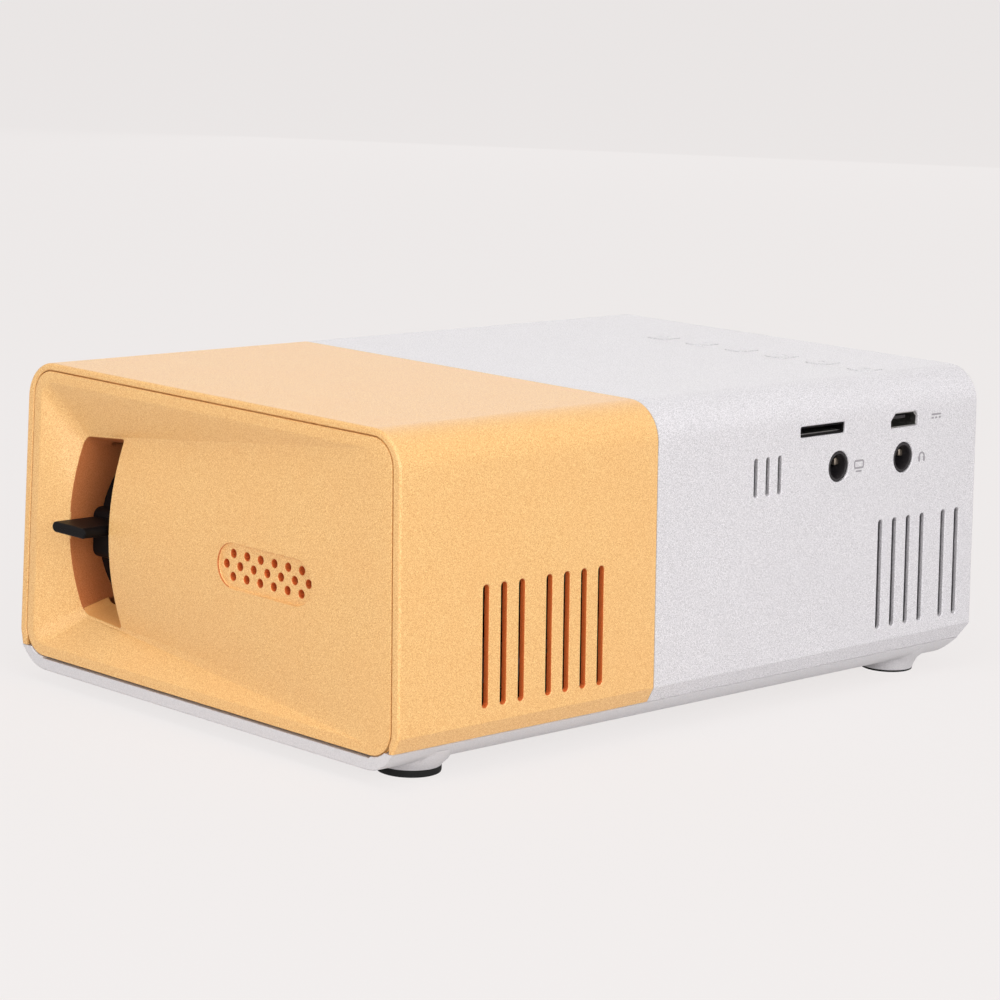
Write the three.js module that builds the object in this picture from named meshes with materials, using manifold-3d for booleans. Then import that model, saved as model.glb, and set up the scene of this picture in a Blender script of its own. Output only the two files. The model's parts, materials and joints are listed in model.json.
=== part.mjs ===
// A pocket projector: a white shell and an orange shell on one base tray, with the lens on a long
// side, the sockets on the other and a focus lever that shows through a slot in the orange end.
// Millimetres, Z up, X along the body towards the orange end, Y from the lens to the sockets.
import * as THREE from 'three';
import { mergeVertices } from 'three/addons/utils/BufferGeometryUtils.js';
import Module from 'manifold-3d';

const wasm = await Module();
wasm.setup();

// Body
const bodyLength = 126;
const bodyDepth = 84; // across the fold line
const bodyTop = 48.84;
const foldHeight = 7.5; // where the sides turn in towards the base
const seamHeight = 5.6; // between the shells and the base tray
const baseHeight = 2.1; // underside of the tray
const baseInset = 4.5; // the underside's edge, in from the fold
const seamInset = 1.0; // the seam, in from the fold
const sideDraftShare = 0.0364;
const topFillet = 5.8;
const endFillet = 0.8;
const shellWall = 1.8;
const orangeLength = 50.04; // from the orange end to the white shell

// Gaps
const restGap = 0.3; // between pieces that rest on each other
const slipGap = 0.15; // round what turns or slides
const jointGap = 0.1; // the butt joint of the two shells
const overrun = 2; // how far a cutter reaches past what it cuts

// End panel
const rimWidth = 1.6;
const panelTopInset = 1.19;
const panelBottom = 4.25;
const panelCorner = 4;
const panelGap = 0.4;
const panelWall = 2;
const panelMargin = 1.5; // flat border round the dish
const creaseStep = 0.4;
const dishDeep = 3.7; // at the slot's two ends
const dishShallow = 1.2; // half way up the slot
const ledgeWidth = 1.3;
const ledgeThickness = 1.5;

// Focus slot and lever
const slotFromSide = 10.1;
const slotWidth = 9.3;
const slotFromFloor = 6.95; // above the panel's bottom edge
const slotFromTop = 9.05; // below the panel's top edge
const slotCorner = 1.8;
const slotWall = 1.2;
const slotReach = 8.6; // depth of the well behind the end plane
const slotRamp = 1.2; // how much floor and ceiling close in on the way
const leverReach = 2.5; // how far the lever stands out of the end
const leverThickness = 1.9;
const leverCorner = 1.6;
const leverBossHeight = 9;
const leverBossProud = 1.9;
const leverBossCorner = 1;

// Lens and focus ring, on one axis along Y
const lensShift = 2.655; // from the middle of the orange shell, away from its end
const lensDrop = 0.245; // below the middle of the room inside
const ringClearance = 0.995; // between the ring and the roof or floor
const ringEndClearance = 6.08; // more of it towards the end panel
const ringSplitClearance = 0.77; // and towards the white shell
const ringWidth = 7.9;
const ringSideGap = 0.7; // to the slot's wall
const barrelInset = 6.1; // from the ring's outside to the barrel's
const barrelWall = 1.9;
const barrelRecess = 3.5; // behind the fold of the lens side
const barrelLength = 19.5;
const sleeveWall = 1.2;
const bezelGap = 0.5; // round the barrel
const bezelWall = 1.9;
const bezelLip = 0.7; // how far the flange covers the shell's hole
const bezelProud = 0.6;
const glassGap = 0.2; // round a glass in the barrel
const glassEdge = 2;
const glassCrown = 2.2;
const seatWall = 1.1;
const seatGap = 0.5; // between a glass and its seat
const retainerWidth = 2;

// Light box, along Y behind the lens
const boxInset = 1.4; // in from the ring's radius
const boxFromBarrel = 2.5;
const boxFromRear = 17.5; // room for lamp, heat sink and fan
const boxBottom = 6.2;
const boxFromTop = 4.04; // under the roof's inside
const boxWall = 1.4;
const lidThickness = 1.4;
const lampWindow = 13;
const plateSideGap = 3.4;
const plateTopGap = 2.1;
const lensSheet = 2;
const panelSheet = 1.8;
const frontSheetFromLamp = 20;
const pictureFromLamp = 15.5;
const rearSheetFromLamp = 11;
const condenserFromLamp = 5;
const condenserDome = 2.5;
const condenserMargin = 2.5;
const condenserSideMargin = 3.5;
const guideDepth = 1.2;
const guideWidth = 1;

// Lamp and cooling
const lampBoardInset = 4; // in from the heat sink's edges
const lampBoardThickness = 1.3;
const emitterSize = 11;
const emitterThickness = 1.4;
const sinkClearance = 2.8; // lower than the light box
const sinkSideClearance = 4.4; // narrower than the light box
const sinkBase = 1.5;
const sinkFin = 1;
const sinkDepth = 6.2;
const sinkFinCount = 9;
const fanInset = 2; // in from the heat sink's edges
const fanDepth = 6;
const fanDrop = 2.4; // below the lens axis
const fanRim = 1;
const fanHub = 7;
const fanBladeGap = 0.8;
const fanBladeThickness = 0.8;
const fanBladeTurn = 0.75; // radians from the disc's plane
const fanBladeCount = 7;
const fanPlate = 1;
const fanSpoke = 2;
const fanPin = 1;

// Loudspeaker and its grille
const speakerY = 13.2;
const speakerWidth = 28;
const speakerHeight = 20;
const speakerDepth = 3.2;
const speakerFromEnd = 7.4;
const coneMargin = 1.6;
const coneDepth = 0.6;
const cradleWall = 1.2;
const grilleWidth = 20.4;
const grilleHeight = 6.6;
const grilleDepth = 0.5;
const grilleHole = 0.65;
const grillePitch = 2.9;
const grilleRow = 1.65;

// Cooling slots
const ventLow = 9.5;
const ventHigh = 26.7;
const ventWidth = 1.3;
const ventPitch = 3.48;
const ventGroupGap = 5.42;
const whiteVentFromEnd = 14.2;
const smallVentHeight = 5.85;
const smallVentWidth = 1.0;
const smallVentPitch = 2.72;
const smallVentFromSplit = 24.86;

// Circuit board and sockets
const boardFromTop = 9.94;
const boardThickness = 1.6;
const boardEndGap = 0.8;
const boardSideGap = 0.7;
const boardFromSplit = 4.96;
const boardInset = 8; // the mounting screws, in from the board's edges
const cardFromEnd = 38.5;
const cardSlotWidth = 10.5;
const cardSlotLift = 0.6; // above the board
const cardSlotHeight = 1.7;
const cardWidth = 13;
const cardDepth = 14;
const cardHeight = 2.6;
const powerFromEnd = 18.6;
const powerWidth = 6.6;
const powerHeight = 2.2;
const powerCut = 1.2;
const powerWall = 0.3;
const powerDepth = 5.2;
const jackFromEnd = 34.5;
const phonesFromEnd = 18.7;
const jackDrop = 2.9; // below the board
const jackHole = 2.4;
const jackNose = 2.2;
const jackBore = 1.75;
const jackWidth = 6.4;
const jackDepth = 12;
const jackRecess = 0.7;
const jackWall = 1.8; // behind the bore
const usbY = 14;
const usbWidth = 13.2;
const usbHeight = 6.2;
const hdmiY = -10;
const hdmiWidth = 15;
const hdmiHeight = 5.6;
const hdmiCut = 1.6;
const portWall = 0.5;
const portDepth = 13;
const portGap = 0.35;
const tongueHeight = 1.6;
const tongueSideGap = 1.1;

// Remote-control window
const windowFromSplit = 10.96;
const windowDrop = 4.4; // below the board
const windowRadius = 2.4;
const windowFlange = 3.4;
const windowFlangeThickness = 0.7;
const receiverWidth = 6;
const receiverDepth = 3;
const receiverHeight = 5.4;

// Keys
const keyCount = 6;
const keyFromEnd = 19;
const keyFromSide = 29.195; // of the middle of the row
const keyPitch = 8.5;
const keyLength = 5;
const keyWidth = 4;
const keyCorner = 1.2;
const keyProud = 0.3;
const keyTravel = 0.4;
const keyFlange = 0.7;
const keyFlangeThickness = 0.6;
const keyStem = 1.1;
const switchSize = 4;
const switchShift = -1.3; // the switches sit off the keys, clear of the power socket
const switchHeight = 3.6;
const plungerRadius = 1.2;
const plungerHeight = 0.5;

// Feet, screws and tripod socket
const footFromEnd = 10.2;
const footFromSide = 8.5;
const footRadius = 4.75;
const footTop = 6.8;
const orangeFootHeight = 1.0;
const whiteFootHeight = 1.75;
const orangeScrewFromSplit = 2.84;
const whiteScrewFromEnd = 27;
const screwFromSide = 7.5;
const bossRadius = 2.2;
const bossBaseTop = 6.2;
const pilotRadius = 1;
const pilotDepth = 8;
const screwRadius = 0.9;
const screwHead = 2.0;
const screwHeadThickness = 1.5;
const screwLength = 9;
const screwHole = 1.3;
const headRecess = 2.3;
const lipInset = 2.1;
const lipThickness = 1;
const lipTop = 7.4;
const tongueLength = 2;
const tongueInset = 1.0;
const insertFromSplit = 12.96;
const insertRadius = 5;
const insertBore = 3.2;
const insertTop = 8.6;
const insertFloor = 0.8;
const insertWall = 1.2; // of the boss round the insert
const postRadius = 2.2;
const boxPostSpread = 13;

// Ribbon
const ribbonThickness = 0.3;
const ribbonDrop = 2.9; // of its flat run, below the board
const ribbonHeight = 12;
const ribbonFromSplit = 7.46;
const ribbonWidth = 8;

// Facets
const roundParts = 32;
const smallParts = 12;
const filletParts = 5;
const ventParts = 2;
const glassParts = 24;
const weld = 0.0001;

// Sizes that follow from those above
const endX = bodyLength / 2;
const foldHalf = bodyDepth / 2;
const seamHalf = foldHalf - seamInset;
const baseHalf = foldHalf - baseInset;
const roofHalf = foldHalf - sideDraftShare * (bodyTop - foldHeight);
const topWallZ = bodyTop - shellWall;
const panelTop = bodyTop - panelTopInset;
const baseFloorZ = panelBottom - panelGap;
const splitX = endX - orangeLength;
const slotLeft = slotFromSide - foldHalf;
const slotRight = slotLeft + slotWidth;
const slotLow = panelBottom + slotFromFloor;
const slotHigh = panelTop - slotFromTop;
const opticalX = splitX + orangeLength / 2 - lensShift;
const opticalZ = (topWallZ + baseFloorZ) / 2 - lensDrop;
const lensRoom = Math.min(
  (topWallZ - baseFloorZ) / 2,
  orangeLength / 2 + lensShift - ringEndClearance,
  orangeLength / 2 - lensShift - ringSplitClearance,
);
const ringRadius = lensRoom - ringClearance;
const barrelRadius = ringRadius - barrelInset;
const barrelFront = barrelRecess - foldHalf;
const barrelBack = barrelFront + barrelLength;
const barrelBore = barrelRadius - barrelWall;
const bezelBore = barrelRadius + bezelGap;
const bezelRadius = bezelBore + bezelWall;
const bezelFlange = bezelRadius + bezelLip;
const glassRadius = barrelBore - glassGap;
const ringFront = slotLeft + ringSideGap;
const ringBack = ringFront + ringWidth;
const sleeveBore = barrelRadius + slipGap;
const sleeveRadius = sleeveBore + sleeveWall;
const ringBore = sleeveRadius + slipGap;
const shoulderRadius = ringBore + shellWall;
const boardUnder = bodyTop - boardFromTop;
const boardTop = boardUnder + boardThickness;
const boardSplitX = splitX - boardFromSplit;
const boxHalfWidth = ringRadius - boxInset;
const plateWidth = 2 * boxHalfWidth - plateSideGap;
const boxFront = barrelBack + boxFromBarrel;
const boxBack = foldHalf - boxFromRear;
const boxTop = topWallZ - boxFromTop;
const sinkSize = Math.min(boxTop - boxBottom - sinkClearance, 2 * boxHalfWidth - sinkSideClearance);
const lampBoard = sinkSize - 2 * lampBoardInset;
const fanSize = sinkSize - 2 * fanInset;
const fanBore = fanSize / 2 - fanRim;
const fanBladeReach = fanBore - fanBladeGap;
const fanZ = opticalZ - fanDrop;
const sinkFront = boxBack + restGap + lampBoardThickness + restGap;
const fanFront = sinkFront + sinkDepth + restGap;
const fanBack = fanFront + fanDepth;
const boxLeft = opticalX - boxHalfWidth;
const boxRight = opticalX + boxHalfWidth;
const plateBottom = boxBottom + boxWall + restGap;
const plateHeight = boxTop - plateTopGap - plateBottom;
const condenserRadius =
  Math.min(plateHeight / 2 - condenserMargin, plateWidth / 2 - condenserSideMargin);
const frontSheetY = boxBack - frontSheetFromLamp;
const pictureY = boxBack - pictureFromLamp;
const rearSheetY = boxBack - rearSheetFromLamp;
const condenserY = boxBack - condenserFromLamp;
const speakerBack = endX - speakerFromEnd;
const whiteVentX = whiteVentFromEnd - endX;
const smallVentX = splitX - smallVentFromSplit;
const cardX = cardFromEnd - endX;
const cardSlotLow = boardTop + cardSlotLift;
const cardSlotHigh = cardSlotLow + cardSlotHeight;
const powerX = powerFromEnd - endX;
const jackX = jackFromEnd - endX;
const phonesX = phonesFromEnd - endX;
const jackZ = boardUnder - jackDrop;
const windowX = splitX - windowFromSplit;
const windowZ = boardUnder - windowDrop;
const keyX = keyFromEnd - endX;
const keyMiddleY = roofHalf - keyFromSide;
const footX = endX - footFromEnd;
const footY = foldHalf - footFromSide;
const insertX = splitX - insertFromSplit;
const orangeScrewX = splitX + orangeScrewFromSplit;
const whiteScrewX = whiteScrewFromEnd - endX;
const screwY = foldHalf - screwFromSide;
const ribbonHigh = boardUnder - ribbonDrop;
const ribbonLow = ribbonHigh - ribbonHeight;
const ribbonX = splitX - ribbonFromSplit;

const finishes = {
  orangeShell: { color: 0xf2b878, roughness: 0.6, metalness: 0 },
  whiteShell: { color: 0xe4e1e4, roughness: 0.55, metalness: 0 },
  blackPlastic: { color: 0x1b1a1b, roughness: 0.5, metalness: 0 },
  darkGlossPlastic: { color: 0x140f14, roughness: 0.15, metalness: 0 },
  rubber: { color: 0x19191a, roughness: 0.85, metalness: 0 },
  steel: { color: 0x9a9a9e, roughness: 0.35, metalness: 1 },
  brass: { color: 0xb89a54, roughness: 0.35, metalness: 1 },
  aluminium: { color: 0xb9bbbe, roughness: 0.4, metalness: 1 },
  glass: { color: 0xdfe8ee, roughness: 0.05, metalness: 0 },
  clearPlastic: { color: 0xdde2e4, roughness: 0.1, metalness: 0 },
  board: { color: 0x1f5a3a, roughness: 0.5, metalness: 0 },
  lamp: { color: 0xf0e49a, roughness: 0.4, metalness: 0 },
  film: { color: 0xa8682a, roughness: 0.4, metalness: 0 },
};

const projector = new THREE.Group();
// The lever's overhang moves the body back by half of it, so the origin is the middle of the whole.
projector.position.x = -leverReach / 2;

// From three.js geometry to a solid that can be cut, and back
function solidFrom(geometry) {
  geometry.deleteAttribute('normal');
  geometry.deleteAttribute('uv');
  const merged = mergeVertices(geometry, weld);
  return new wasm.Manifold(new wasm.Mesh({
    numProp: 3,
    vertProperties: merged.attributes.position.array,
    triVerts: new Uint32Array(merged.index.array),
  }));
}

function geometryFrom(solid) {
  const mesh = solid.getMesh();
  const geometry = new THREE.BufferGeometry();
  geometry.setAttribute('position', new THREE.BufferAttribute(mesh.vertProperties, mesh.numProp));
  geometry.setIndex(new THREE.BufferAttribute(mesh.triVerts, 1));
  geometry.computeVertexNormals();
  return geometry;
}

function addPiece(name, solid, finish) {
  const mesh = new THREE.Mesh(geometryFrom(solid), new THREE.MeshStandardMaterial(finish));
  mesh.name = name;
  projector.add(mesh);
}

const joined = (solids) => solids.reduce((whole, solid) => whole.add(solid));
const cutBy = (solid, cutters) => cutters.reduce((left, cutter) => left.subtract(cutter), solid);

// Plain solids between two corners, along an axis, or turned
const towards = (x, y, z) => new THREE.Vector3(x, y, z);
const turnToX = new THREE.Matrix4().makeBasis(towards(0, 1, 0), towards(0, 0, 1), towards(1, 0, 0));
const turnToY = new THREE.Matrix4().makeBasis(towards(1, 0, 0), towards(0, 0, 1), towards(0, -1, 0));

function block(x, y, z) {
  const geometry = new THREE.BoxGeometry(x[1] - x[0], y[1] - y[0], z[1] - z[0]);
  geometry.translate((x[0] + x[1]) / 2, (y[0] + y[1]) / 2, (z[0] + z[1]) / 2);
  return solidFrom(geometry);
}

function extruded(shape, depth, parts = filletParts) {
  return new THREE.ExtrudeGeometry(shape, { depth, bevelEnabled: false, curveSegments: parts });
}

// An outline in Y and Z, drawn from one X to another
function alongX(shape, from, to, parts) {
  return solidFrom(extruded(shape, to - from, parts).applyMatrix4(turnToX).translate(from, 0, 0));
}

// An outline in X and Z, drawn from one Y to another
function alongY(shape, from, to, parts) {
  return solidFrom(extruded(shape, to - from, parts).applyMatrix4(turnToY).translate(0, to, 0));
}

// An outline in X and Y, drawn from one Z to another
function alongZ(shape, from, to, parts) {
  return solidFrom(extruded(shape, to - from, parts).translate(0, 0, from));
}

// A profile of [radius, place along the axis], turned about an axis along Y or along Z
function turned(profile, parts) {
  return new THREE.LatheGeometry(profile.map(([radius, place]) => new THREE.Vector2(radius, place)), parts);
}

const aboutY = (profile, x, z, parts = roundParts) => solidFrom(turned(profile, parts).translate(x, 0, z));

const aboutZ = (profile, x, y, parts = smallParts) =>
  solidFrom(turned(profile, parts).rotateX(Math.PI / 2).translate(x, y, 0));

const rod = (radius, from, to) => [[0, from], [radius, from], [radius, to], [0, to]];

const tube = (bore, radius, from, to) =>
  [[bore, from], [radius, from], [radius, to], [bore, to], [bore, from]];

function polygon(points) {
  return new THREE.Shape(points.map(([across, up]) => new THREE.Vector2(across, up)));
}

function rounded(left, right, low, high, corner) {
  const shape = new THREE.Shape();
  shape.absarc(right - corner, low + corner, corner, -Math.PI / 2, 0);
  shape.absarc(right - corner, high - corner, corner, 0, Math.PI / 2);
  shape.absarc(left + corner, high - corner, corner, Math.PI / 2, Math.PI);
  shape.absarc(left + corner, low + corner, corner, Math.PI, Math.PI * 1.5);
  return shape;
}

// The body's cross-section in Y and Z
const halfDepthAt = (z) => foldHalf - sideDraftShare * (z - foldHeight);

function sectionOutline(inset) {
  const corner = topFillet - inset;
  const cornerZ = bodyTop - topFillet;
  const cornerHalf = halfDepthAt(cornerZ) - topFillet;
  const shape = new THREE.Shape();
  shape.moveTo(-(baseHalf - inset), baseHeight + inset);
  shape.lineTo(baseHalf - inset, baseHeight + inset);
  shape.lineTo(seamHalf - inset, seamHeight);
  shape.lineTo(foldHalf - inset, foldHeight);
  shape.absarc(cornerHalf, cornerZ, corner, 0, Math.PI / 2);
  shape.absarc(-cornerHalf, cornerZ, corner, Math.PI / 2, Math.PI);
  shape.lineTo(-(foldHalf - inset), foldHeight);
  shape.lineTo(-(seamHalf - inset), seamHeight);
  return shape;
}

// The room inside the shells, open downwards
function roomOutline(inset) {
  const corner = topFillet - inset;
  const cornerZ = bodyTop - topFillet;
  const cornerHalf = halfDepthAt(cornerZ) - topFillet;
  const shape = new THREE.Shape();
  shape.moveTo(foldHalf - inset, baseHeight - overrun);
  shape.lineTo(foldHalf - inset, foldHeight);
  shape.absarc(cornerHalf, cornerZ, corner, 0, Math.PI / 2);
  shape.absarc(-cornerHalf, cornerZ, corner, Math.PI / 2, Math.PI);
  shape.lineTo(-(foldHalf - inset), foldHeight);
  shape.lineTo(-(foldHalf - inset), baseHeight - overrun);
  return shape;
}

// The outside of the closed body, with soft ends and a white end that turns in below the fold
function outerBody() {
  const geometry = new THREE.ExtrudeGeometry(sectionOutline(0), {
    depth: bodyLength - 2 * endFillet,
    curveSegments: filletParts,
    bevelThickness: endFillet,
    bevelSize: endFillet,
    bevelOffset: -endFillet,
    bevelSegments: 2,
  });
  geometry.applyMatrix4(turnToX).translate(endFillet - endX, 0, 0);
  const endDrop = polygon([
    [-endX - overrun, baseHeight - overrun],
    [-endX + baseInset + overrun, baseHeight - overrun],
    [-endX + baseInset, baseHeight],
    [-endX + seamInset, seamHeight],
    [-endX, foldHeight],
    [-endX - overrun, foldHeight + overrun],
  ].reverse());
  return solidFrom(geometry).subtract(alongY(endDrop, -bodyDepth, bodyDepth));
}

const wholeBody = outerBody();

const above = (z) => block([-bodyLength, bodyLength], [-bodyDepth, bodyDepth], [z, bodyTop + overrun]);
const between = (from, to) =>
  block([from, to], [-bodyDepth, bodyDepth], [baseHeight - overrun, bodyTop + overrun]);

// The end panel's outline in Y and Z, grown or shrunk all round
const panelHalfAt = (z) => halfDepthAt(z) - rimWidth;

function panelOutline(grow) {
  const corner = panelCorner + grow;
  const lowZ = panelBottom + panelCorner;
  const highZ = panelTop - panelCorner;
  const lowHalf = panelHalfAt(lowZ) - panelCorner;
  const highHalf = panelHalfAt(highZ) - panelCorner;
  const shape = new THREE.Shape();
  shape.absarc(lowHalf, lowZ, corner, -Math.PI / 2, 0);
  shape.absarc(highHalf, highZ, corner, 0, Math.PI / 2);
  shape.absarc(-highHalf, highZ, corner, Math.PI / 2, Math.PI);
  shape.absarc(-lowHalf, lowZ, corner, Math.PI, Math.PI * 1.5);
  return shape;
}

const mouth = alongX(panelOutline(panelGap), endX - panelWall - panelGap, endX + overrun);

// Rows of round-ended slots in the side wall, in groups, about a middle place
function slotPlaces(groups, pitch, groupGap, middle) {
  const slots = groups.reduce((sum, count) => sum + count);
  const span = (slots - groups.length) * pitch + (groups.length - 1) * groupGap;
  const places = [];
  let place = middle + span / 2;
  for (const count of groups) {
    for (let slot = 0; slot < count; slot += 1) places.push(place - slot * pitch);
    place -= (count - 1) * pitch + groupGap;
  }
  return places;
}

function ventCutters(places, width, low, high) {
  return places.map((x) => alongY(
    rounded(x - width / 2, x + width / 2, low, high, width / 2),
    foldHalf - shellWall - overrun - shellWall,
    foldHalf + overrun,
    ventParts,
  ));
}

// Screw columns under the shells' tops
function column(x, y) {
  const solid = aboutZ(rod(bossRadius, bossBaseTop + restGap, topWallZ + shellWall / 2), x, y);
  const web = block(
    [x - shellWall / 2, x + shellWall / 2],
    y > 0 ? [y, foldHalf - shellWall] : [shellWall - foldHalf, y],
    [lipTop + restGap, topWallZ + shellWall / 2],
  );
  return solid.add(web);
}

const pilot = (x, y) =>
  aboutZ(rod(pilotRadius, bossBaseTop - overrun, bossBaseTop + pilotDepth), x, y);

function shellColumns(x) {
  const columns = [column(x, -screwY), column(x, screwY)].map((solid) => solid.intersect(wholeBody));
  return { columns, pilots: [pilot(x, -screwY), pilot(x, screwY)] };
}

// Orange shell: roof and sides, open at the end, below and at the joint
function orangeHousing() {
  const { columns, pilots } = shellColumns(orangeScrewX);
  const room = alongX(roomOutline(shellWall), splitX - overrun, endX + overrun);
  const ledge = cutBy(
    alongX(sectionOutline(shellWall / 2), endX - panelWall - restGap - ledgeThickness,
      endX - panelWall - restGap),
    [alongX(panelOutline(-ledgeWidth), 0, endX)],
  );
  const shell = joined([wholeBody.subtract(room), ledge, ...columns])
    .intersect(above(seamHeight + restGap))
    .intersect(between(splitX + jointGap / 2, endX + overrun));
  const rebate = alongX(roomOutline(tongueInset - slipGap), splitX - overrun,
    splitX + tongueLength + restGap);
  const lensHole = aboutY(rod(bezelRadius + slipGap, -foldHalf - overrun, shellWall * 2 - foldHalf),
    opticalX, opticalZ);
  const vents = ventCutters(slotPlaces([3, 4], ventPitch, ventGroupGap, opticalX),
    ventWidth, ventLow, ventHigh);
  return cutBy(shell, [mouth, rebate, lensHole, ...pilots, ...vents]);
}

// White shell: roof, sides and one end, with the socket holes and the key holes
const keyPlaces = Array.from({ length: keyCount },
  (_, index) => keyMiddleY + (index - (keyCount - 1) / 2) * keyPitch);

const keyOutline = (y, grow) => rounded(
  keyX - keyLength / 2 - grow, keyX + keyLength / 2 + grow,
  y - keyWidth / 2 - grow, y + keyWidth / 2 + grow, keyCorner + grow,
);

const boardLeft = shellWall + boardEndGap - endX;
const boardSide = halfDepthAt(boardTop) - shellWall - boardSideGap;
const postPlaces = [boardLeft + boardInset, boardSplitX - boardInset]
  .map((x) => [x, boardInset - boardSide]);

const powerOutline = (grow) => {
  const half = powerWidth / 2 + grow;
  const low = boardTop + powerWall - grow;
  const high = boardTop + powerWall + powerHeight + grow;
  return polygon([
    [powerX - half + powerCut, high],
    [powerX - half, high - powerCut],
    [powerX - half, low],
    [powerX + half, low],
    [powerX + half, high - powerCut],
    [powerX + half - powerCut, high],
  ]);
};

const wallCutY = foldHalf - 3 * shellWall;

function hdmiOutline(grow) {
  const half = hdmiWidth / 2 + grow;
  const high = boardUnder - portGap + grow;
  const low = boardUnder - portGap - hdmiHeight - grow;
  return polygon([
    [hdmiY - half, high],
    [hdmiY - half, low + hdmiCut],
    [hdmiY - half + hdmiCut, low],
    [hdmiY + half - hdmiCut, low],
    [hdmiY + half, low + hdmiCut],
    [hdmiY + half, high],
  ]);
}

function usbOutline(grow) {
  const high = boardUnder - portGap;
  return polygon([
    [usbY - usbWidth / 2 - grow, high + grow],
    [usbY - usbWidth / 2 - grow, high - usbHeight - grow],
    [usbY + usbWidth / 2 + grow, high - usbHeight - grow],
    [usbY + usbWidth / 2 + grow, high + grow],
  ]);
}

function whiteHousing() {
  const { columns, pilots } = shellColumns(whiteScrewX);
  const room = alongX(roomOutline(shellWall), shellWall - endX, splitX + tongueLength + overrun);
  const posts = postPlaces.map(([x, y]) =>
    aboutZ(rod(postRadius, boardTop + restGap, topWallZ + shellWall / 2), x, y));
  const postPilots = postPlaces.map(([x, y]) =>
    aboutZ(rod(pilotRadius, boardTop, topWallZ - shellWall / 2), x, y));
  const shell = joined([wholeBody.subtract(room), ...columns, ...posts])
    .intersect(between(-endX - overrun, splitX - jointGap / 2));
  const tongue = alongX(sectionOutline(tongueInset), splitX - shellWall, splitX + tongueLength)
    .subtract(alongX(roomOutline(shellWall), splitX - 2 * shellWall, splitX + tongueLength + overrun));
  const jackHoles = [jackX, phonesX].map((x) =>
    aboutY(rod(jackHole, wallCutY, foldHalf + overrun), x, jackZ, smallParts));
  const cardHole = alongY(rounded(cardX - cardSlotWidth / 2, cardX + cardSlotWidth / 2,
    cardSlotLow, cardSlotHigh, slipGap), wallCutY, foldHalf + overrun, 1);
  const powerHole = alongY(powerOutline(slipGap), wallCutY, foldHalf + overrun);
  const windowHole = aboutY(rod(windowRadius + slipGap, -foldHalf - overrun, -wallCutY),
    windowX, windowZ, smallParts);
  const endHoles = [hdmiOutline(slipGap), usbOutline(slipGap)].map((shape) =>
    alongX(shape, -endX - overrun, 2 * shellWall - endX));
  const keyHoles = keyPlaces.map((y) =>
    alongZ(keyOutline(y, slipGap), topWallZ - overrun, bodyTop + overrun, 2));
  const vents = [
    ...ventCutters(slotPlaces([4, 2], ventPitch, ventGroupGap, whiteVentX), ventWidth, ventLow, ventHigh),
    ...ventCutters(slotPlaces([3], smallVentPitch, 0, smallVentX), smallVentWidth,
      boardUnder - smallVentHeight, boardUnder),
  ];
  return cutBy(joined([shell, tongue]).intersect(above(seamHeight + restGap)), [
    ...pilots, ...postPilots, ...jackHoles, cardHole, powerHole, windowHole, ...endHoles,
    ...keyHoles, ...vents,
  ]);
}

// Base tray: floor, turned-in sides, inner lip, foot pedestals and screw bosses
const screwPlaces = [orangeScrewX, whiteScrewX].flatMap((x) => [[x, screwY], [x, -screwY]]);

const feet = [
  { name: 'orange_front', x: footX, y: -footY, height: orangeFootHeight },
  { name: 'orange_rear', x: footX, y: footY, height: orangeFootHeight },
  { name: 'white_front', x: -footX, y: -footY, height: whiteFootHeight },
  { name: 'white_rear', x: -footX, y: footY, height: whiteFootHeight },
];

function lip() {
  const outer = alongX(roomOutline(lipInset), lipInset - endX, endX - 2 * lipInset);
  const inner = alongX(roomOutline(lipInset + lipThickness), lipInset + lipThickness - endX, endX);
  const band = block([-bodyLength, bodyLength], [-bodyDepth, bodyDepth], [baseFloorZ, lipTop]);
  return outer.subtract(inner).intersect(band);
}

function baseCover() {
  const tray = wholeBody.subtract(above(seamHeight));
  const pedestals = feet.map(({ x, y, height }) => aboutZ([
    [0, baseHeight - height],
    [footRadius, baseHeight - height],
    [footTop, baseHeight],
    [footTop, seamHeight - restGap],
    [0, seamHeight - restGap],
  ], x, y, glassParts));
  const hollow = alongX(polygon([
    [baseInset + slotWall - foldHalf, baseFloorZ],
    [foldHalf - baseInset - slotWall, baseFloorZ],
    [seamHalf - lipInset, seamHeight + overrun],
    [lipInset - seamHalf, seamHeight + overrun],
  ]), lipInset + seamInset - endX, endX + overrun);
  const bosses = screwPlaces.map(([x, y]) =>
    aboutZ(rod(bossRadius + shellWall / 2, baseFloorZ - restGap, bossBaseTop), x, y));
  const boxPosts = [-boxPostSpread, boxPostSpread].flatMap((across) =>
    [boxFront + boxPostSpread / 2, boxBack - boxPostSpread / 2].map((y) =>
      aboutZ(rod(postRadius, baseFloorZ - restGap, boxBottom - restGap), opticalX + across, y)));
  const socketBoss = aboutZ(rod(insertRadius + insertWall, baseFloorZ - restGap, insertTop),
    insertX, 0, glassParts);
  const socketHole = aboutZ(rod(insertRadius + slipGap, baseHeight - overrun, insertTop - insertWall),
    insertX, 0, glassParts);
  const screwHoles = screwPlaces.flatMap(([x, y]) => [
    aboutZ(rod(screwHole, baseHeight - overrun, bossBaseTop + overrun), x, y),
    aboutZ(rod(headRecess, baseHeight - overrun, baseHeight + screwHeadThickness + restGap), x, y),
  ]);
  const solid = joined([tray, ...pedestals]).subtract(hollow);
  return cutBy(joined([solid, lip(), ...bosses, ...boxPosts, socketBoss]),
    [mouth, socketHole, ...screwHoles]);
}

// End panel: a dish that sinks towards the focus slot, its middle face bowed out
const middleRows = 8;
const middleColumns = 4;
const dishLow = panelBottom + panelMargin;
const dishHigh = panelTop - panelMargin;

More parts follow.
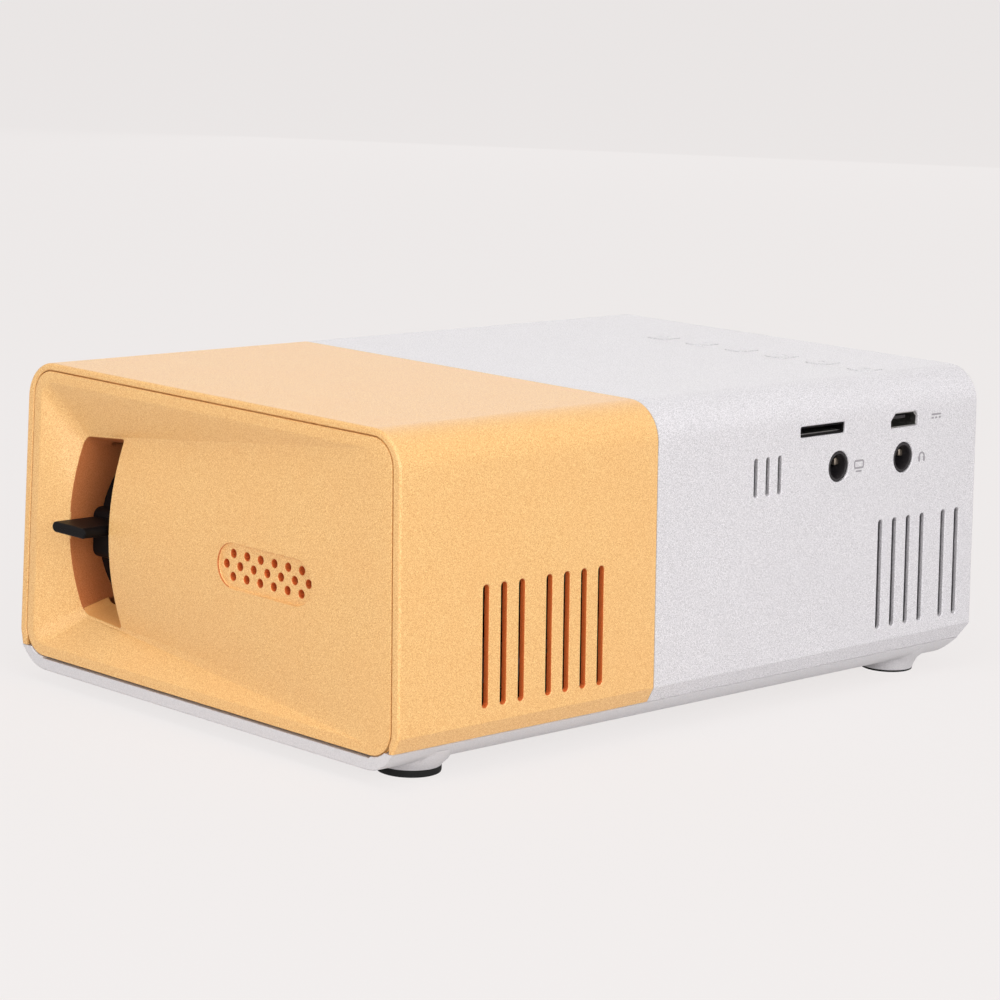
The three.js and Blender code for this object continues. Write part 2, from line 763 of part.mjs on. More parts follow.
const panelColumns = [
  { side: -1, margin: -overrun, sink: 0 },
  { side: -1, margin: panelMargin, sink: 0 },
  { y: slotLeft, sink: 1 },
  ...Array.from({ length: middleColumns }, (_, index) => ({
    y: slotRight, side: 1, margin: panelMargin, sink: 1 - index / middleColumns,
  })),
  { side: 1, margin: panelMargin, sink: 0 },
  { side: 1, margin: -overrun, sink: 0 },
];

function panelSpot(column, row) {
  const { y, side, margin, sink } = panelColumns[column];
  const rows = middleRows + 4;
  const low = dishLow + creaseStep + sink * (slotLow - dishLow - creaseStep);
  const high = dishHigh - creaseStep + sink * (slotHigh - dishHigh + creaseStep);
  const level = (row - 2) / middleRows;
  const inDish = row >= 2 && row <= rows - 2;
  const bow = 1 - (2 * level - 1) ** 2;
  let z = low + level * (high - low);
  if (row === 0) z = panelBottom - overrun;
  if (row === 1) z = dishLow;
  if (row === rows - 1) z = dishHigh;
  if (row === rows) z = panelTop + overrun;
  const edgeY = side ? side * (panelHalfAt(z) - margin) : 0;
  let across = y ?? edgeY;
  if (y !== undefined && side) across = y * sink + edgeY * (1 - sink);
  return { y: across, z, depth: inDish ? sink * (dishDeep - (dishDeep - dishShallow) * bow) : 0 };
}

function dishedPlate() {
  const columns = panelColumns.length - 1;
  const rows = middleRows + 4;
  const geometry = new THREE.BoxGeometry(1, 1, 1, 1, columns, rows);
  const places = geometry.attributes.position;
  for (let index = 0; index < places.count; index += 1) {
    const column = Math.round((places.getY(index) + 0.5) * columns);
    const row = Math.round((places.getZ(index) + 0.5) * rows);
    const spot = panelSpot(column, row);
    const back = places.getX(index) > 0 ? 0 : panelWall;
    places.setXYZ(index, endX - spot.depth - back, spot.y, spot.z);
  }
  return solidFrom(geometry);
}

// The well behind the slot, a little narrower inside
function slotWell(grow) {
  const opening = alongX(rounded(slotLeft - grow, slotRight + grow, slotLow - grow, slotHigh + grow,
    slotCorner), endX - slotReach - (grow ? 0 : overrun), endX + (grow ? 0 : overrun), 2);
  const rampEnd = endX - slotReach - overrun;
  const wedge = alongY(polygon([
    [rampEnd, slotLow + slotRamp - grow],
    [endX - dishDeep, slotLow - grow],
    [endX + overrun, slotLow - grow],
    [endX + overrun, slotHigh + grow],
    [endX - dishDeep, slotHigh + grow],
    [rampEnd, slotHigh - slotRamp + grow],
  ]), slotLeft - grow - overrun, slotRight + grow + overrun);
  return opening.intersect(wedge);
}

function grilleSpots() {
  const counts = [6, 7, 6];
  return counts.flatMap((count, row) => Array.from({ length: count }, (_, index) => [
    speakerY + (index - (count - 1) / 2) * grillePitch,
    opticalZ + (row - (counts.length - 1) / 2) * grilleRow,
  ]));
}

function endPanel() {
  const behindDish = alongX(polygon([
    [slotLeft - slotWall - overrun, slotLow - slotWall - overrun],
    [slotRight + slotWall + overrun, slotLow - slotWall - overrun],
    [slotRight + slotWall + overrun, slotHigh + slotWall + overrun],
    [slotLeft - slotWall - overrun, slotHigh + slotWall + overrun],
  ]), endX - slotReach - overrun, endX - dishDeep);
  const cradleGrow = restGap + cradleWall;
  const cradle = alongX(rounded(
    speakerY - speakerWidth / 2 - cradleGrow, speakerY + speakerWidth / 2 + cradleGrow,
    opticalZ - speakerHeight / 2 - cradleGrow, opticalZ + speakerHeight / 2 + cradleGrow,
    cradleWall), speakerBack + restGap, endX - panelWall / 2 - dishShallow, 1);
  const cradleRoom = block(
    [speakerBack - overrun, speakerBack + speakerDepth + restGap],
    [speakerY - speakerWidth / 2 - restGap, speakerY + speakerWidth / 2 + restGap],
    [opticalZ - speakerHeight / 2 - restGap, opticalZ + speakerHeight / 2 + restGap],
  );
  const coneRoom = block(
    [speakerBack, endX - panelWall - dishShallow],
    [speakerY - grilleWidth / 2 - coneMargin, speakerY + grilleWidth / 2 + coneMargin],
    [opticalZ - grilleHeight / 2 - coneMargin, opticalZ + grilleHeight / 2 + coneMargin],
  );
  const grilleFace = endX - dishShallow / 2;
  const recess = alongX(rounded(speakerY - grilleWidth / 2, speakerY + grilleWidth / 2,
    opticalZ - grilleHeight / 2, opticalZ + grilleHeight / 2, grilleHeight / 2),
  grilleFace - grilleDepth, endX + overrun);
  const holes = grilleSpots().map(([y, z]) => alongX(
    rounded(y - grilleHole, y + grilleHole, z - grilleHole, z + grilleHole, grilleHole),
    endX - 2 * panelWall - dishShallow, endX + overrun, 2));
  const plate = dishedPlate().intersect(alongX(panelOutline(0), 0, endX + overrun));
  const collar = slotWell(slotWall).intersect(behindDish);
  return cutBy(joined([plate, collar, cradle]),
    [slotWell(0), cradleRoom, coneRoom, recess, ...holes]);
}

// Focus ring with its lever, which shows in the slot
function focusRing() {
  const ring = aboutY(tube(ringBore, ringRadius, ringFront, ringBack), opticalX, opticalZ, roundParts);
  const bossStart = opticalX + ringBore + slipGap;
  const bossEnd = opticalX + ringRadius + leverBossProud;
  const boss = alongY(rounded(bossStart, bossEnd, opticalZ - leverBossHeight / 2,
    opticalZ + leverBossHeight / 2, leverBossCorner), ringFront, ringBack, 2);
  const tab = alongZ(rounded(bossStart, endX + leverReach, ringFront, ringBack, leverCorner),
    opticalZ - leverThickness / 2, opticalZ + leverThickness / 2, filletParts);
  return cutBy(joined([ring, boss, tab]),
    [aboutY(rod(ringBore, ringFront - overrun, ringBack + overrun), opticalX, opticalZ, roundParts)]);
}

// Lens side: fixed sleeve, bezel in the shell's hole, moving barrel with its glasses
const bezelInner = ringFront - restGap;

function lensSleeve() {
  return aboutY([
    [sleeveBore, bezelInner + restGap],
    [sleeveRadius, bezelInner + restGap],
    [sleeveRadius, ringBack + restGap],
    [shoulderRadius, ringBack + restGap],
    [shoulderRadius, boxFront - restGap],
    [sleeveBore, boxFront - restGap],
    [sleeveBore, bezelInner + restGap],
  ], opticalX, opticalZ);
}

function lensBezel() {
  const face = -halfDepthAt(opticalZ - bezelFlange) - bezelProud;
  return aboutY([
    [bezelBore, face],
    [bezelFlange, face],
    [bezelFlange, face + bezelProud - slipGap],
    [bezelRadius, face + bezelProud - slipGap],
    [bezelRadius, bezelInner],
    [bezelBore, bezelInner],
    [bezelBore, face],
  ], opticalX, opticalZ);
}

const frontGlassY = barrelFront + retainerWidth + seatGap + glassCrown + glassEdge / 2;
const rearGlassY = barrelBack - glassCrown - glassEdge;

function lensBarrel() {
  const seatFront = frontGlassY + glassEdge / 2 + seatGap;
  const seatBack = rearGlassY - glassEdge / 2 - seatGap;
  return aboutY([
    [barrelBore, barrelFront],
    [barrelRadius, barrelFront],
    [barrelRadius, barrelBack],
    [barrelBore, barrelBack],
    [barrelBore, seatBack],
    [barrelBore - seatWall, seatBack],
    [barrelBore - seatWall, seatFront],
    [barrelBore, seatFront],
    [barrelBore, barrelFront],
  ], opticalX, opticalZ);
}

function crowned(radius, edge, crown, middle, parts) {
  const arc = (direction) => Array.from({ length: parts + 1 }, (_, step) => {
    const share = step / parts;
    return [radius * share, middle + direction * (edge / 2 + crown * (1 - share ** 2))];
  });
  return [...arc(-1), ...arc(1).reverse()];
}

const glassSteps = 3;
const glassAt = (middle) => aboutY(crowned(glassRadius, glassEdge, glassCrown, middle, glassSteps),
  opticalX, opticalZ, glassParts);

const lensRetainer = () => aboutY(tube(glassRadius - seatWall, glassRadius,
  frontGlassY - glassEdge / 2 - seatGap - retainerWidth, frontGlassY - glassEdge / 2 - seatGap),
opticalX, opticalZ, glassParts);

// Light box with guides for the sheets, its lid, and the sheets themselves
const sheetBeds = [
  [frontSheetY, frontSheetY + lensSheet],
  [pictureY, pictureY + panelSheet],
  [rearSheetY, rearSheetY + lensSheet],
  [condenserY, condenserY + lensSheet],
];

function lightBox() {
  const outside = block([boxLeft, boxRight], [boxFront, boxBack], [boxBottom, boxTop]);
  const inside = block([boxLeft + boxWall, boxRight - boxWall], [boxFront + boxWall, boxBack - boxWall],
    [boxBottom + boxWall, boxTop + overrun]);
  const guides = sheetBeds.flatMap(([front, back]) =>
    [front - restGap - guideWidth, back + restGap].flatMap((y) => [
      block([boxLeft + boxWall / 2, boxLeft + boxWall + guideDepth], [y, y + guideWidth],
        [boxBottom + boxWall / 2, boxTop - lidThickness]),
      block([boxRight - boxWall - guideDepth, boxRight - boxWall / 2], [y, y + guideWidth],
        [boxBottom + boxWall / 2, boxTop - lidThickness]),
    ]));
  const lensWindow = aboutY(rod(barrelBore, boxFront - overrun, boxFront + overrun), opticalX, opticalZ);
  const lampHole = block([opticalX - lampWindow / 2, opticalX + lampWindow / 2],
    [boxBack - 2 * boxWall, boxBack + overrun], [opticalZ - lampWindow / 2, opticalZ + lampWindow / 2]);
  const ribbonSlot = block([boxLeft - overrun, boxLeft + boxWall + guideDepth + restGap],
    [pictureY, pictureY + panelSheet], [ribbonLow - restGap, ribbonHigh + restGap]);
  return cutBy(joined([outside.subtract(inside), ...guides]), [lensWindow, lampHole, ribbonSlot]);
}

const lightBoxLid = () => block([boxLeft, boxRight], [boxFront, boxBack],
  [boxTop + restGap, boxTop + restGap + lidThickness]).add(block(
  [boxLeft + boxWall + guideDepth + restGap, boxRight - boxWall - guideDepth - restGap],
  [boxFront + boxWall + restGap, boxBack - boxWall - restGap],
  [boxTop - lidThickness / 2, boxTop + restGap + lidThickness / 2],
));

const sheet = ([front, back]) => block([opticalX - plateWidth / 2, opticalX + plateWidth / 2],
  [front, back], [plateBottom, plateBottom + plateHeight]);

function condenserLens() {
  const [front] = sheetBeds[3];
  const domeFloor = front + lensSheet / 2;
  const dome = Array.from({ length: glassSteps + 1 }, (_, step) => {
    const share = step / glassSteps;
    return [condenserRadius * share, front - condenserDome * (1 - share ** 2)];
  });
  return sheet(sheetBeds[3]).add(aboutY([...dome, [condenserRadius, domeFloor], [0, domeFloor]],
    opticalX, opticalZ, glassParts));
}

const ribbon = () => {
  const middle = pictureY + panelSheet / 2;
  const start = opticalX - plateWidth / 2 - restGap;
  return alongY(polygon([
    [start, ribbonLow],
    [start, ribbonHigh],
    [ribbonX + ribbonWidth, ribbonHigh],
    [ribbonX + ribbonWidth / 2, boardUnder - restGap],
    [ribbonX - ribbonWidth / 2, boardUnder - restGap],
    [ribbonX - ribbonWidth / 2, ribbonHigh],
    [ribbonX + ribbonWidth / 2, ribbonLow],
  ].reverse()), middle - ribbonThickness / 2, middle + ribbonThickness / 2);
};

// Lamp, heat sink and fan
const centredBlock = (x, z, width, height, from, to) =>
  block([x - width / 2, x + width / 2], [from, to], [z - height / 2, z + height / 2]);

const ledBoard = () => centredBlock(opticalX, opticalZ, lampBoard, lampBoard,
  boxBack + restGap, boxBack + restGap + lampBoardThickness);

const ledEmitter = () => centredBlock(opticalX, opticalZ, emitterSize, emitterSize,
  boxBack - emitterThickness, boxBack);

function heatSink() {
  const finPitch = (sinkSize - sinkFin) / (sinkFinCount - 1);
  const plate = centredBlock(opticalX, opticalZ, sinkSize, sinkSize, sinkFront, sinkFront + sinkBase);
  const fins = Array.from({ length: sinkFinCount }, (_, index) => centredBlock(
    opticalX + (index - (sinkFinCount - 1) / 2) * finPitch, opticalZ, sinkFin, sinkSize,
    sinkFront + sinkBase / 2, sinkFront + sinkDepth,
  ));
  return joined([plate, ...fins]);
}

function fanFrame() {
  const frame = centredBlock(opticalX, fanZ, fanSize, fanSize, fanFront, fanBack)
    .subtract(aboutY(rod(fanBore, fanFront - overrun, fanBack + overrun), opticalX, fanZ));
  const plate = aboutY(rod(fanHub, fanBack - fanPlate, fanBack), opticalX, fanZ, smallParts);
  const pin = aboutY(rod(fanPin, fanFront + fanPlate + 2 * restGap, fanBack - fanPlate / 2),
    opticalX, fanZ, smallParts);
  const spokes = [
    centredBlock(opticalX, fanZ, 2 * fanBore + fanSpoke / 2, fanSpoke, fanBack - fanPlate, fanBack),
    centredBlock(opticalX, fanZ, fanSpoke, 2 * fanBore + fanSpoke / 2, fanBack - fanPlate, fanBack),
  ];
  return joined([frame, plate, pin, ...spokes]);
}

function fanRotor() {
  const from = fanFront + restGap;
  const to = fanBack - fanPlate - restGap;
  const hub = aboutY(rod(fanHub, from, to), opticalX, fanZ, smallParts);
  const bladeLength = (to - from) * Math.sin(fanBladeTurn);
  const blades = Array.from({ length: fanBladeCount }, (_, index) => {
    const blade = new THREE.BoxGeometry(fanBladeReach - fanHub / 2, bladeLength, fanBladeThickness);
    blade.rotateX(fanBladeTurn).translate((fanBladeReach + fanHub / 2) / 2, (from + to) / 2, 0);
    blade.rotateY(index * 2 * Math.PI / fanBladeCount).translate(opticalX, 0, fanZ);
    return solidFrom(blade);
  });
  const bore = aboutY(rod(fanPin + slipGap, from + fanPlate, to + overrun), opticalX, fanZ, smallParts);
  return joined([hub, ...blades]).subtract(bore);
}

// Loudspeaker: frame with a shallow dish, and the cone in it
function speakerFrame() {
  const frame = block([speakerBack, speakerBack + speakerDepth],
    [speakerY - speakerWidth / 2, speakerY + speakerWidth / 2],
    [opticalZ - speakerHeight / 2, opticalZ + speakerHeight / 2]);
  return frame.subtract(alongX(coneOutline(0), speakerBack + speakerDepth / 2,
    speakerBack + speakerDepth + overrun));
}

const coneOutline = (inset) => rounded(
  speakerY - speakerWidth / 2 + coneMargin + inset, speakerY + speakerWidth / 2 - coneMargin - inset,
  opticalZ - speakerHeight / 2 + coneMargin + inset, opticalZ + speakerHeight / 2 - coneMargin - inset,
  speakerHeight / 2 - coneMargin - inset,
);

const speakerCone = () => alongX(coneOutline(slipGap), speakerBack + speakerDepth / 2 + restGap,
  speakerBack + speakerDepth / 2 + restGap + coneDepth);

// Circuit board with its sockets
function mainBoard() {
  const plate = block([boardLeft, boardSplitX], [-boardSide, boardSide], [boardUnder, boardTop]);
  const notch = bossRadius + restGap;
  const notches = [-1, 1].map((side) => block([whiteScrewX - notch, whiteScrewX + notch],
    side > 0 ? [screwY - notch, foldHalf] : [-foldHalf, notch - screwY],
    [boardUnder - overrun, boardTop + overrun]));
  const holes = postPlaces.map(([x, y]) =>
    aboutZ(rod(screwHole, boardUnder - overrun, boardTop + overrun), x, y));
  return cutBy(plate, [...notches, ...holes]);
}

const socketFace = halfDepthAt(cardSlotHigh) - shellWall - restGap;

function cardSocket() {
  const shell = block([cardX - cardWidth / 2, cardX + cardWidth / 2], [socketFace - cardDepth, socketFace],
    [boardTop, boardTop + cardHeight]);
  return shell.subtract(block(
    [cardX - cardSlotWidth / 2, cardX + cardSlotWidth / 2],
    [socketFace - cardDepth + cardHeight, socketFace + overrun],
    [boardTop + powerWall, boardTop + cardHeight - powerWall],
  ));
}

function powerSocket() {
  const shell = alongY(powerOutline(powerWall - slipGap), socketFace - powerDepth, socketFace);
  const room = alongY(powerOutline(-slipGap), socketFace - powerDepth + powerWall, socketFace + overrun);
  const tongue = block([powerX - powerWidth / 4, powerX + powerWidth / 4],
    [socketFace - powerDepth + powerWall / 2, socketFace - powerWall],
    [boardTop + powerHeight / 2, boardTop + powerHeight / 2 + powerWall]);
  return shell.subtract(room).add(tongue);
}

function jackSocket(x) {
  const bodyFace = halfDepthAt(jackZ) - shellWall - restGap;
  const body = block([x - jackWidth / 2, x + jackWidth / 2], [bodyFace - jackDepth, bodyFace],
    [2 * jackZ - boardUnder, boardUnder]);
  const nose = aboutY(rod(jackNose, bodyFace - restGap, halfDepthAt(jackZ) - jackRecess),
    x, jackZ, smallParts);
  const bore = aboutY(rod(jackBore, bodyFace - jackDepth + jackWall, foldHalf + overrun),
    x, jackZ, smallParts);
  return joined([body, nose]).subtract(bore);
}

// A socket shell at the white end, open outwards, with a tongue inside
function endSocket(outline, y, width, height) {
  const face = shellWall + restGap - endX;
  const middle = boardUnder - portGap - height / 2;
  const shell = alongX(outline(0), face, face + portDepth)
    .subtract(alongX(outline(-portWall), face - overrun, face + portDepth - portWall));
  const tongue = block([face + portWall, face + portDepth - portWall / 2],
    [y - width / 2 + tongueSideGap + portWall, y + width / 2 - tongueSideGap - portWall],
    [middle - tongueHeight / 2, middle + tongueHeight / 2]);
  return shell.add(tongue);
}

const irWindow = () => {
  const inner = halfDepthAt(windowZ - windowFlange) - shellWall - restGap;
  return aboutY([
    [0, -halfDepthAt(windowZ)],
    [windowRadius, -halfDepthAt(windowZ)],
    [windowRadius, slipGap - halfDepthAt(windowZ) + shellWall],
    [windowFlange, slipGap - halfDepthAt(windowZ) + shellWall],
    [windowFlange, windowFlangeThickness - inner + slipGap],
    [0, windowFlangeThickness - inner + slipGap],
  ], windowX, windowZ, smallParts);
};

const irReceiver = () => {
  const front = 2 * restGap + windowFlangeThickness + shellWall + slipGap - halfDepthAt(windowZ);
  return block([windowX - receiverWidth / 2, windowX + receiverWidth / 2], [front, front + receiverDepth],
    [boardUnder - receiverHeight, boardUnder]);
};

// A key with its flange and stem, and the switch below it
const plungerTop = boardTop + switchHeight + plungerHeight;

const keyCap = (y) => joined([
  alongZ(keyOutline(y, 0), topWallZ - restGap - keyFlangeThickness / 2, bodyTop + keyProud, 2),
  alongZ(keyOutline(y, keyFlange), topWallZ - restGap - keyFlangeThickness, topWallZ - restGap, 2),
  aboutZ(rod(keyStem, plungerTop + keyTravel + slipGap / 2, topWallZ - restGap), keyX, y + switchShift),
]);

const tactSwitch = (y) => block([keyX - switchSize / 2, keyX + switchSize / 2],
  [y + switchShift - switchSize / 2, y + switchShift + switchSize / 2],
  [boardTop, boardTop + switchHeight])
  .add(aboutZ(rod(plungerRadius, boardTop + switchHeight / 2, plungerTop), keyX, y + switchShift));

// Feet, screws and the tripod insert
const footPad = ({ x, y, height }) => aboutZ(rod(footRadius, 0, baseHeight - height), x, y, glassParts);

const screw = (x, y, headUnder) => aboutZ([
  [0, headUnder],
  [screwHead, headUnder],
  [screwHead, headUnder + screwHeadThickness],
  [screwRadius, headUnder + screwHeadThickness],
  [screwRadius, headUnder + screwHeadThickness + screwLength],
  [0, headUnder + screwHeadThickness + screwLength],
], x, y);

const boardScrew = (x, y) => aboutZ([
  [0, boardUnder - screwHeadThickness],
  [screwHead, boardUnder - screwHeadThickness],
  [screwHead, boardUnder],
  [screwRadius, boardUnder],
  [screwRadius, topWallZ - shellWall],
  [0, topWallZ - shellWall],
], x, y);

function tripodInsert() {
  const top = insertTop - insertWall - restGap;
  return aboutZ(rod(insertRadius, baseHeight, top), insertX, 0, glassParts)
    .subtract(aboutZ(rod(insertBore, baseHeight - overrun, top - insertFloor), insertX, 0, glassParts));
}

addPiece('orange_housing', orangeHousing(), finishes.orangeShell);
addPiece('white_housing', whiteHousing(), finishes.whiteShell);
addPiece('base_cover', baseCover(), finishes.whiteShell);
addPiece('end_panel', endPanel(), finishes.orangeShell);
addPiece('focus_ring', focusRing(), finishes.blackPlastic);
addPiece('lens_sleeve', lensSleeve(), finishes.blackPlastic);
addPiece('lens_bezel', lensBezel(), finishes.blackPlastic);
addPiece('lens_barrel', lensBarrel(), finishes.blackPlastic);
addPiece('front_lens', glassAt(frontGlassY), finishes.glass);
addPiece('rear_lens', glassAt(rearGlassY), finishes.glass);
addPiece('lens_retainer', lensRetainer(), finishes.blackPlastic);
addPiece('light_box', lightBox(), finishes.blackPlastic);
addPiece('light_box_lid', lightBoxLid(), finishes.blackPlastic);
addPiece('front_fresnel_lens', sheet(sheetBeds[0]), finishes.clearPlastic);
addPiece('picture_panel', sheet(sheetBeds[1]), finishes.darkGlossPlastic);
addPiece('rear_fresnel_lens', sheet(sheetBeds[2]), finishes.clearPlastic);
addPiece('condenser_lens', condenserLens(), finishes.clearPlastic);
addPiece('picture_ribbon', ribbon(), finishes.film);
addPiece('led_emitter', ledEmitter(), finishes.lamp);
addPiece('led_board', ledBoard(), finishes.aluminium);
addPiece('heat_sink', heatSink(), finishes.aluminium);
addPiece('fan_frame', fanFrame(), finishes.blackPlastic);
addPiece('fan_rotor', fanRotor(), finishes.blackPlastic);
addPiece('speaker_frame', speakerFrame(), finishes.blackPlastic);
addPiece('speaker_cone', speakerCone(), finishes.blackPlastic);
addPiece('main_board', mainBoard(), finishes.board);
addPiece('card_socket', cardSocket(), finishes.steel);
addPiece('power_socket', powerSocket(), finishes.steel);
addPiece('av_jack', jackSocket(jackX), finishes.blackPlastic);
addPiece('headphone_jack', jackSocket(phonesX), finishes.blackPlastic);
addPiece('usb_socket', endSocket(usbOutline, usbY, usbWidth, usbHeight), finishes.steel);
addPiece('hdmi_socket', endSocket(hdmiOutline, hdmiY, hdmiWidth, hdmiHeight), finishes.steel);
addPiece('ir_window', irWindow(), finishes.darkGlossPlastic);
addPiece('ir_receiver', irReceiver(), finishes.blackPlastic);
keyPlaces.forEach((y, index) => {
  addPiece(`key_${index + 1}`, keyCap(y), finishes.whiteShell);
  addPiece(`key_switch_${index + 1}`, tactSwitch(y), finishes.steel);
});
feet.forEach((foot) => addPiece(`foot_pad_${foot.name}`, footPad(foot), finishes.rubber));
screwPlaces.forEach(([x, y], index) =>
  addPiece(`base_screw_${index + 1}`, screw(x, y, baseHeight), finishes.steel));
postPlaces.forEach(([x, y], index) =>
  addPiece(`board_screw_${index + 1}`, boardScrew(x, y), finishes.steel));
addPiece('tripod_insert', tripodInsert(), finishes.brass);

export default projector;
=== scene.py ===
"""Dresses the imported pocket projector: moulded shells, dished end with its lever, sockets and lens."""
import json
import math

import bpy
from bpy.props import FloatProperty, FloatVectorProperty, IntProperty, PointerProperty
from mathutils import Matrix, Vector

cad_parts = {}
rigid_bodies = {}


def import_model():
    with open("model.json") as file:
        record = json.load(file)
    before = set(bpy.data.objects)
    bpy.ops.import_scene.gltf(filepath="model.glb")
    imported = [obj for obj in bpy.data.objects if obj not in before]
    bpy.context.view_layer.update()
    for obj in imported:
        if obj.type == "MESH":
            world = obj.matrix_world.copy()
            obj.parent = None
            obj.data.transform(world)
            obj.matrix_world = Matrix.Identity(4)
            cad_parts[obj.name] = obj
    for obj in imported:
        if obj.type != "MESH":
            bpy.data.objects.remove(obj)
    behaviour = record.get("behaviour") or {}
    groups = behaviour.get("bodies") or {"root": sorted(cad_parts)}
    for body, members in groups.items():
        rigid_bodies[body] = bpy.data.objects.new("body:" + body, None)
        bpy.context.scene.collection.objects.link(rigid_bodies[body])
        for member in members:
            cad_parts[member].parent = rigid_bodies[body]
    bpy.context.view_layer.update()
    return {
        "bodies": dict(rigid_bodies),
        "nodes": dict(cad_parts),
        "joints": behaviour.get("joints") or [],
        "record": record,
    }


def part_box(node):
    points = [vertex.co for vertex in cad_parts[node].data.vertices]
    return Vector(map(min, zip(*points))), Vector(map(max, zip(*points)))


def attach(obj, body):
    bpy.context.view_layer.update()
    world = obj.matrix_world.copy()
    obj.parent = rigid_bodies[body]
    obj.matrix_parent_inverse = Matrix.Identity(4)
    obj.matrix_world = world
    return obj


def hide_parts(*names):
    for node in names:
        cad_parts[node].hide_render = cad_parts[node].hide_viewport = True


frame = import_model()

bl_info = {
    "name": "Pocket projector",
    "version": (1, 0, 0),
    "blender": (4, 5, 0),
    "location": "View3D > Sidebar > Projector",
    "description": "Models and finishes a pocket projector round its packed frame",
    "category": "Add Mesh",
}

MM = 0.001

# Places in millimetres from the middle of the body, where X is 0 half way between its ends
orange_low, orange_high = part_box("orange_housing")
white_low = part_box("white_housing")[0]
BODY_X = (orange_high.x + white_low.x) / 2


def mm(length):
    """A length in metres as millimetres."""
    return length / MM


def spot(x, y, z):
    """A place in millimetres from the body's middle, as a place in the scene."""
    return Vector((x * MM + BODY_X, y * MM, z * MM))


def middle(node):
    """The middle of a CAD node's box, in millimetres from the body's middle."""
    low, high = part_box(node)
    return mm((low.x + high.x) / 2 - BODY_X), mm((low.y + high.y) / 2), mm((low.z + high.z) / 2)


def reach(node):
    """The lowest and highest corner of a CAD node, in millimetres from the body's middle."""
    return [(mm(p.x - BODY_X), mm(p.y), mm(p.z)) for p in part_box(node)]


END_X = mm(orange_high.x - BODY_X)
# The joint as it looks, a little further from the orange end than in the solids
SPLIT_X = mm(orange_low.x - BODY_X) - 0.5
TOP_Z = mm(orange_high.z)
FOLD_Y = mm(orange_high.y)
# The fold, the seam between shells and base, how far the base and the seam stand in from the fold
FOLD_Z = 7.5
SEAM_Z = 5.15
BASE_Z = 2.1
BASE_INSET = 3.2
SEAM_INSET = 1.2
FRONT_SEAM_INSET = 0.5
DRAFT_SHARE = 0.0364
REST_GAP = 0.08
OVERRUN = 2.0
PANEL_LOW_Z = mm(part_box("end_panel")[0].z)
PANEL_HIGH_Z = mm(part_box("end_panel")[1].z)
LENS_X, _, LENS_Z = middle("lens_barrel")
KEY_NAMES = [f"key_{number}" for number in range(1, 7)]


def linear(code):
    """An sRGB hex value as linear red, green, blue and alpha."""
    parts = [int(code[i:i + 2], 16) / 255 for i in (0, 2, 4)]
    return (*[p / 12.92 if p <= 0.04045 else ((p + 0.055) / 1.055) ** 2.4 for p in parts], 1.0)


def size(name, description, value):
    """A length that a user can change, its default given in millimetres."""
    return FloatProperty(name=name, description=description, default=value * MM, unit="LENGTH", precision=5)


def colour(name, description, code):
    """A colour that a user can change, its default given as sRGB hex."""
    return FloatVectorProperty(name=name, description=description, default=linear(code), size=4,
                               subtype="COLOR", min=0, max=1)


class ProjectorStage(bpy.types.PropertyGroup):
    azimuth: FloatProperty(name="Azimuth", description="Camera's direction round the object",
                           default=math.radians(134.73), subtype="ANGLE")
    elevation: FloatProperty(name="Elevation", description="Camera's height as an angle",
                             default=math.radians(10.18), subtype="ANGLE")
    roll: FloatProperty(name="Roll", description="Camera's tilt about its own axis",
                        default=math.radians(2.204), subtype="ANGLE")
    place: FloatVectorProperty(name="Place", description="Where the camera stands",
                               default=(0.34635, 0.34124, 0.11476), subtype="TRANSLATION", precision=5)
    lens: FloatProperty(name="Lens", description="Focal length in millimetres on a 36 mm sensor",
                        default=114.74)
    side_power: FloatProperty(name="Side light", description="Power of the soft light on the socket side",
                              default=6.4, unit="POWER")
    end_power: FloatProperty(name="End light", description="Power of the soft light on the orange end",
                             default=1.8, unit="POWER")
    top_power: FloatProperty(name="Top light", description="Power of the soft light overhead",
                             default=4.0, unit="POWER")
    back_power: FloatProperty(name="Back light", description="Power of the soft light behind the object",
                              default=1.1, unit="POWER")
    sky: FloatProperty(name="Room light", description="Strength of the even light all round", default=0.36)
    backdrop: colour("Backdrop", "Colour of the floor and room as the camera sees them", "F6F2F1")


class ProjectorFinishes(bpy.types.PropertyGroup):
    orange: colour("Orange shell", "Colour of the orange moulded plastic", "F3B36F")
    # Painted shade: a deeper orange for the shaded walls of the cooling slots and the grille's holes
    hollow: colour("Orange hollows", "Deeper orange on the walls of the cooling slots", "EC7C3E")
    # Painted shade: a duller orange for the shaded walls of the focus slot's well and the grille recess
    well: colour("Focus slot", "Duller orange on the walls of the focus slot's well", "C87A48")
    # Painted light: a brighter orange for the focus slot's lower wall, which faces up
    slot_floor_painted_light: colour("Focus slot floor", "Orange on the lower wall of the focus slot's well", "FFB46A")
    white: colour("White shell", "Colour of the white moulded plastic", "D1CED1")
    tray: colour("Base tray", "Colour of the smooth base tray", "D0CDCF")
    black: colour("Black plastic", "Colour of lever and lens mount", "0F0D0E")
    jack: colour("Jack plastic", "Colour of the dark grey jacks", "2A2729")
    sign: colour("Signs", "Colour of the printed signs", "9A969A")
    grain: size("Grain", "Width of the moulded texture's grain", 0.15)


